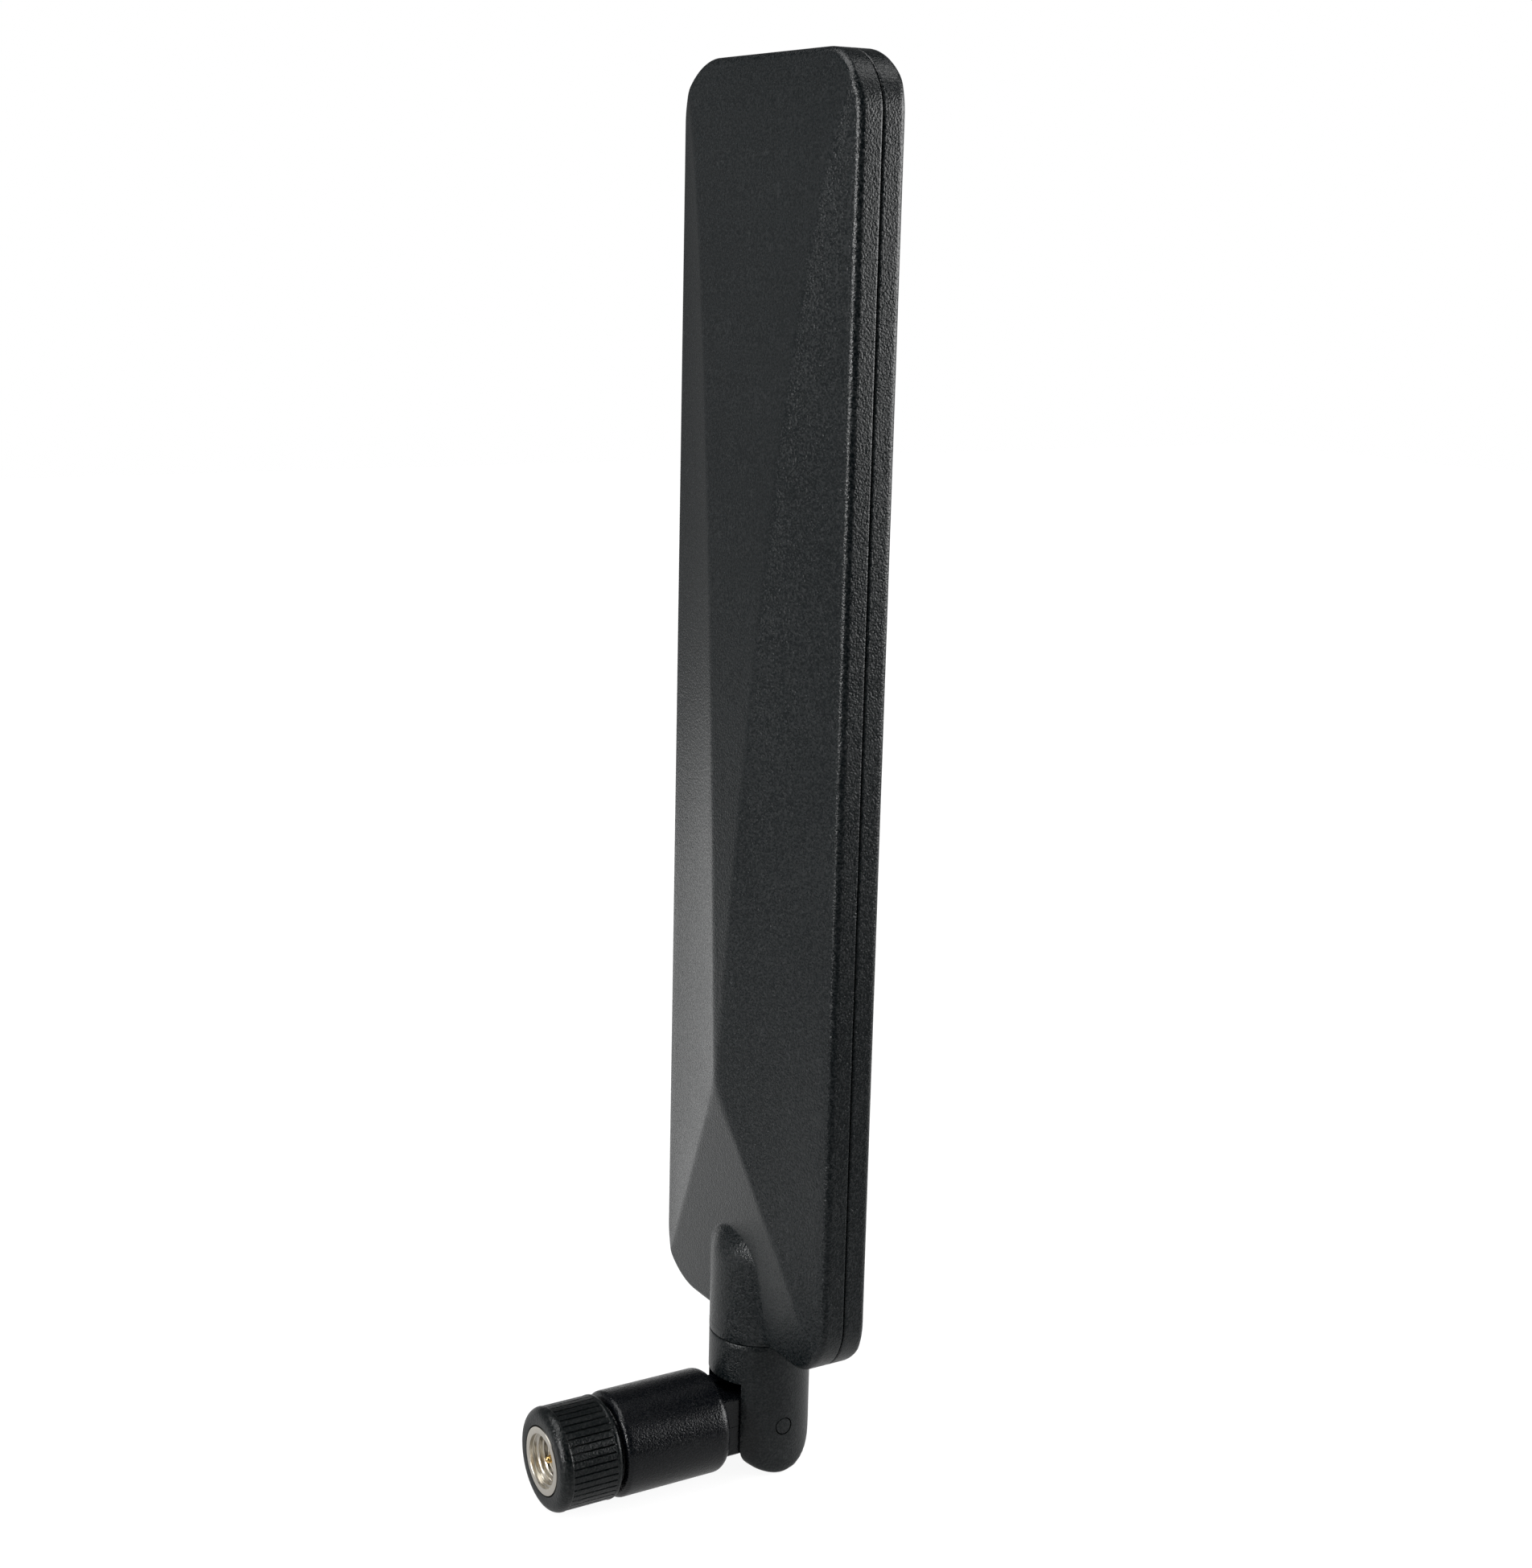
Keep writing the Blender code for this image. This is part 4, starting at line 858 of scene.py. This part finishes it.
# Coupling nut: nickel-plated brass with a round nose, a hexagon under its cap and a 1/4-36 thread
# inside. A split ring holds it on the connector body, so that it turns by itself.
thread_pitch = 25.4 / 36
thread_radius = 3.18
thread_depth = 0.36
hexagon_width = 8.3


def thread(along):
    def radius(angle):
        turn = (along / thread_pitch - angle / (2 * math.pi)) % 1.0
        flank = abs(turn - 0.5) * 2
        return thread_radius - thread_depth * min(max(1.45 * flank - 0.2, 0.0), 1.0)
    return radius


def hexagon(angle):
    """Half the width across the flats, out to the corners, which are turned to 4.7."""
    return min(hexagon_width / 2 / math.cos((angle + math.pi / 6) % (math.pi / 3) - math.pi / 6), 4.7)


rows = [(2.75, 7.4), (3.95, 7.4), (4.0, 7.35), (4.0, 6.72), (hexagon, 6.7), (hexagon, 1.3), (4.0, 1.28),
        (4.0, 0.1), (3.97, 0.03), (3.90, 0.0), (3.26, 0.0), (3.21, 0.02), (3.18, 0.06), (3.17, 0.45)]
thread_rows = 60
for index in range(thread_rows + 1):
    along = 0.5 + (5.4 - 0.5) * index / thread_rows
    rows.append((thread(along), along))
rows += [(3.2, 5.45), (3.2, 5.6), (2.75, 5.6), (2.75, 6.1), (3.25, 6.1), (3.25, 6.85), (2.75, 6.85)]
nut = turned("nut_turning", rows, 144)
shaded(nut, 32.0)
dress(nut, nickel, "nut", "nickel_plate", "coupling_nut")

# Nut cap: a black nylon cap pressed over the hexagon. It has a full round lip in front, a smaller
# one behind, and fine straight ribs for the fingers between them.
knurl_count = 44
knurl_depth = 0.30
sleeve_radius = 6.1
lip_round = 1.15


def pocket(angle):
    return hexagon(angle) + 0.12


def ribs(share):
    def radius(angle):
        turn = (angle * knurl_count / (2 * math.pi)) % 1.0
        crest = min(max((2 * abs(turn - 0.5) - 0.07) / 0.18, 0.0), 1.0)
        return sleeve_radius - 0.05 - knurl_depth * share * (1 - crest * crest * (3 - 2 * crest))
    return radius


rows = [(4.15, 7.65), (5.3, 7.65)] + round_corner(sleeve_radius - 0.4, 7.25, 0.4, 90, 0, 5)[1:]
rows += [(sleeve_radius, 7.1), (ribs(0.0), 7.0), (ribs(0.5), 6.93), (ribs(1.0), 6.85), (ribs(1.0), 4.2),
         (ribs(1.0), 1.5), (ribs(0.6), 1.4), (ribs(0.0), 1.32), (sleeve_radius, 1.26)]
rows += round_corner(sleeve_radius - lip_round, 1.2, lip_round, 0, -90, 9)
rows += [(4.25, 0.05), (4.15, 0.08), (4.12, 0.2), (4.12, 1.15), (pocket, 1.16), (pocket, 6.84),
         (4.15, 6.85)]
cap = turned("nut_cap_moulding", rows, knurl_count * 16)
shaded(cap, 50.0)
cap_black = moulded("cap_black", (0.0004, 0.0022, 0.0026), (0.0172, 0.0190, 0.0194), 0.33,
                    specular=0.42, grain_size=0.24, depth=0.10, strength=0.8)
dress(cap, cap_black, "nut", "satin_black", "nut_sleeve")


def finish_node(look, *names):
    """A solid whose shape is right gets its finish."""
    for name in names:
        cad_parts[name].material_slots[0].material = look


# Gasket, retaining ring and friction ring: a red silicone seal at the bottom of the thread, a split
# spring wire that holds the nut, and a split nylon ring that gives the swivel its drag.
rubber = plain_polymer("silicone_rubber", (0.36, 0.045, 0.03), (0.27, 0.03, 0.02), 0.62, 0.3, 4000.0, 0.3)
spring_steel = plated("spring_steel", (0.50, 0.49, 0.48), (0.38, 0.36, 0.34), 0.34, 0.08, 4000.0)
nylon = plain_polymer("natural_nylon", (0.74, 0.72, 0.66), (0.66, 0.63, 0.56), 0.48, 0.4, 3000.0, 0.25)
finish_node(rubber, "gasket")
finish_node(spring_steel, "retaining_ring")
finish_node(nylon, "friction_ring")

# Crimp: the cable's braid folded over the tail of the connector body, under a plated ferrule.
braid, braid_in, braid_out = group_with("woven_wires", {"Wires per metre": 5200.0}, ["Height"])
nodes, links = braid.nodes, braid.links
place = nodes.new("ShaderNodeTexCoord").outputs["Object"]
crossing = []
for lean in (1.0, -1.0):
    turn = nodes.new("ShaderNodeVectorRotate")
    turn.rotation_type = "X_AXIS"
    turn.inputs["Angle"].default_value = lean * math.radians(38)
    links.new(place, turn.inputs["Vector"])
    wave = nodes.new("ShaderNodeTexWave")
    wave.bands_direction = "Z"
    wave.inputs["Distortion"].default_value = 0.6
    links.new(turn.outputs["Vector"], wave.inputs["Vector"])
    links.new(braid_in.outputs["Wires per metre"], wave.inputs["Scale"])
    crossing.append(wave.outputs["Fac"])
links.new(math_in(nodes, links, "MAXIMUM", *crossing), braid_out.inputs["Height"])
tinned = plated("tinned_braid", (0.66, 0.65, 0.62), (0.50, 0.49, 0.46), 0.38, 0.08)
nodes, links = tinned.node_tree.nodes, tinned.node_tree.links
weave = nodes.new("ShaderNodeGroup")
weave.node_tree = braid
links.new(weave.outputs["Height"], nodes["Bump"].inputs["Height"])
nodes["Bump"].inputs["Strength"].default_value = 0.8
nodes["Bump"].inputs["Distance"].default_value = 0.00006
finish_node(tinned, "plug_braid", "cable_braid")
finish_node(nickel, "crimp_ferrule")

# Radiator board: woven glass board under a green mask, located on four posts, with the two halves of
# a printed dipole in bare copper on its front face and a solder joint on each.
glass_board = plain_polymer("masked_glass_board", (0.045, 0.16, 0.075), (0.03, 0.11, 0.05), 0.34, 0.5,
                            1600.0, 0.25)
nodes, links = glass_board.node_tree.nodes, glass_board.node_tree.links
threads = nodes.new("ShaderNodeTexBrick")
threads.inputs["Scale"].default_value = 900.0
threads.inputs["Mortar Size"].default_value = 0.03
threads.inputs["Mortar Smooth"].default_value = 1.0
flat = nodes.new("ShaderNodeVectorRotate")
flat.rotation_type = "X_AXIS"
flat.inputs["Angle"].default_value = math.radians(90)
links.new(nodes["Texture Coordinate"].outputs["Object"], flat.inputs["Vector"])
links.new(flat.outputs["Vector"], threads.inputs["Vector"])
links.new(threads.outputs["Fac"], nodes["Bump"].inputs["Height"])
copper = plated("bare_copper", (0.86, 0.47, 0.30), (0.66, 0.33, 0.20), 0.28, 0.10, 1500.0, 0.2)
solder = plated("solder", (0.70, 0.69, 0.67), (0.56, 0.55, 0.53), 0.22, 0.08, 900.0, 0.3)
finish_node(glass_board, "radiator_board")
finish_node(copper, "upper_radiator", "lower_radiator", "cable_core")
finish_node(solder, "core_solder", "braid_solder")
finish_node(fluoropolymer, "cable_insulation")

# Cable: a thin coaxial cable in a black jacket. It comes out of the crimp, bends up between the two
# pins, climbs through the spigot and lies on the board.
route = [(0.0, -9.6, 0.0), (0.0, -5.12, 0.0), (0.0, -3.04, 0.32), (0.0, -0.9, 1.28), (0.0, 0.0, 3.52),
         (0.0, 0.0, 18.0), (0.0, -0.32, 21.0), (0.0, -1.35, 27.0), (0.0, -1.59, 31.0), (0.0, -1.59, 80.0)]
cable_radius = 0.9
bend_legs = 5
path = []
for index in range(len(route) - 1):
    before, start = Vector(route[max(index - 1, 0)]), Vector(route[index])
    end, after = Vector(route[index + 1]), Vector(route[min(index + 2, len(route) - 1)])
    spacing = 0.5 if index < bend_legs else 2.0
    count = max(2, round((end - start).length / spacing))
    for step in range(count):
        share = step / count
        leave, arrive = (end - before) / 2, (after - start) / 2
        path.append(start * (2 * share ** 3 - 3 * share ** 2 + 1)
                    + leave * (share ** 3 - 2 * share ** 2 + share)
                    + end * (3 * share ** 2 - 2 * share ** 3) + arrive * (share ** 3 - share ** 2))
path.append(Vector(route[-1]))
sideways = Vector((1.0, 0.0, 0.0))
jacket_loops = []
for index, point in enumerate(path):
    along = (path[min(index + 1, len(path) - 1)] - path[max(index - 1, 0)]).normalized()
    upright = sideways.cross(along)
    jacket_loops.append([point + cable_radius * (sideways * math.cos(math.pi * turn / 10)
                                                 + upright * math.sin(math.pi * turn / 10))
                         for turn in range(20)])
jacket = lofted("cable_jacket_tube", jacket_loops)
shaded(jacket, 50.0)
jacket_black = plain_polymer("jacket_black", (0.035, 0.035, 0.036), (0.022, 0.022, 0.023), 0.45, 0.4,
                             3000.0, 0.2)
jacket.data.materials.append(jacket_black)
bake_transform(jacket)
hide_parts("cable_jacket")
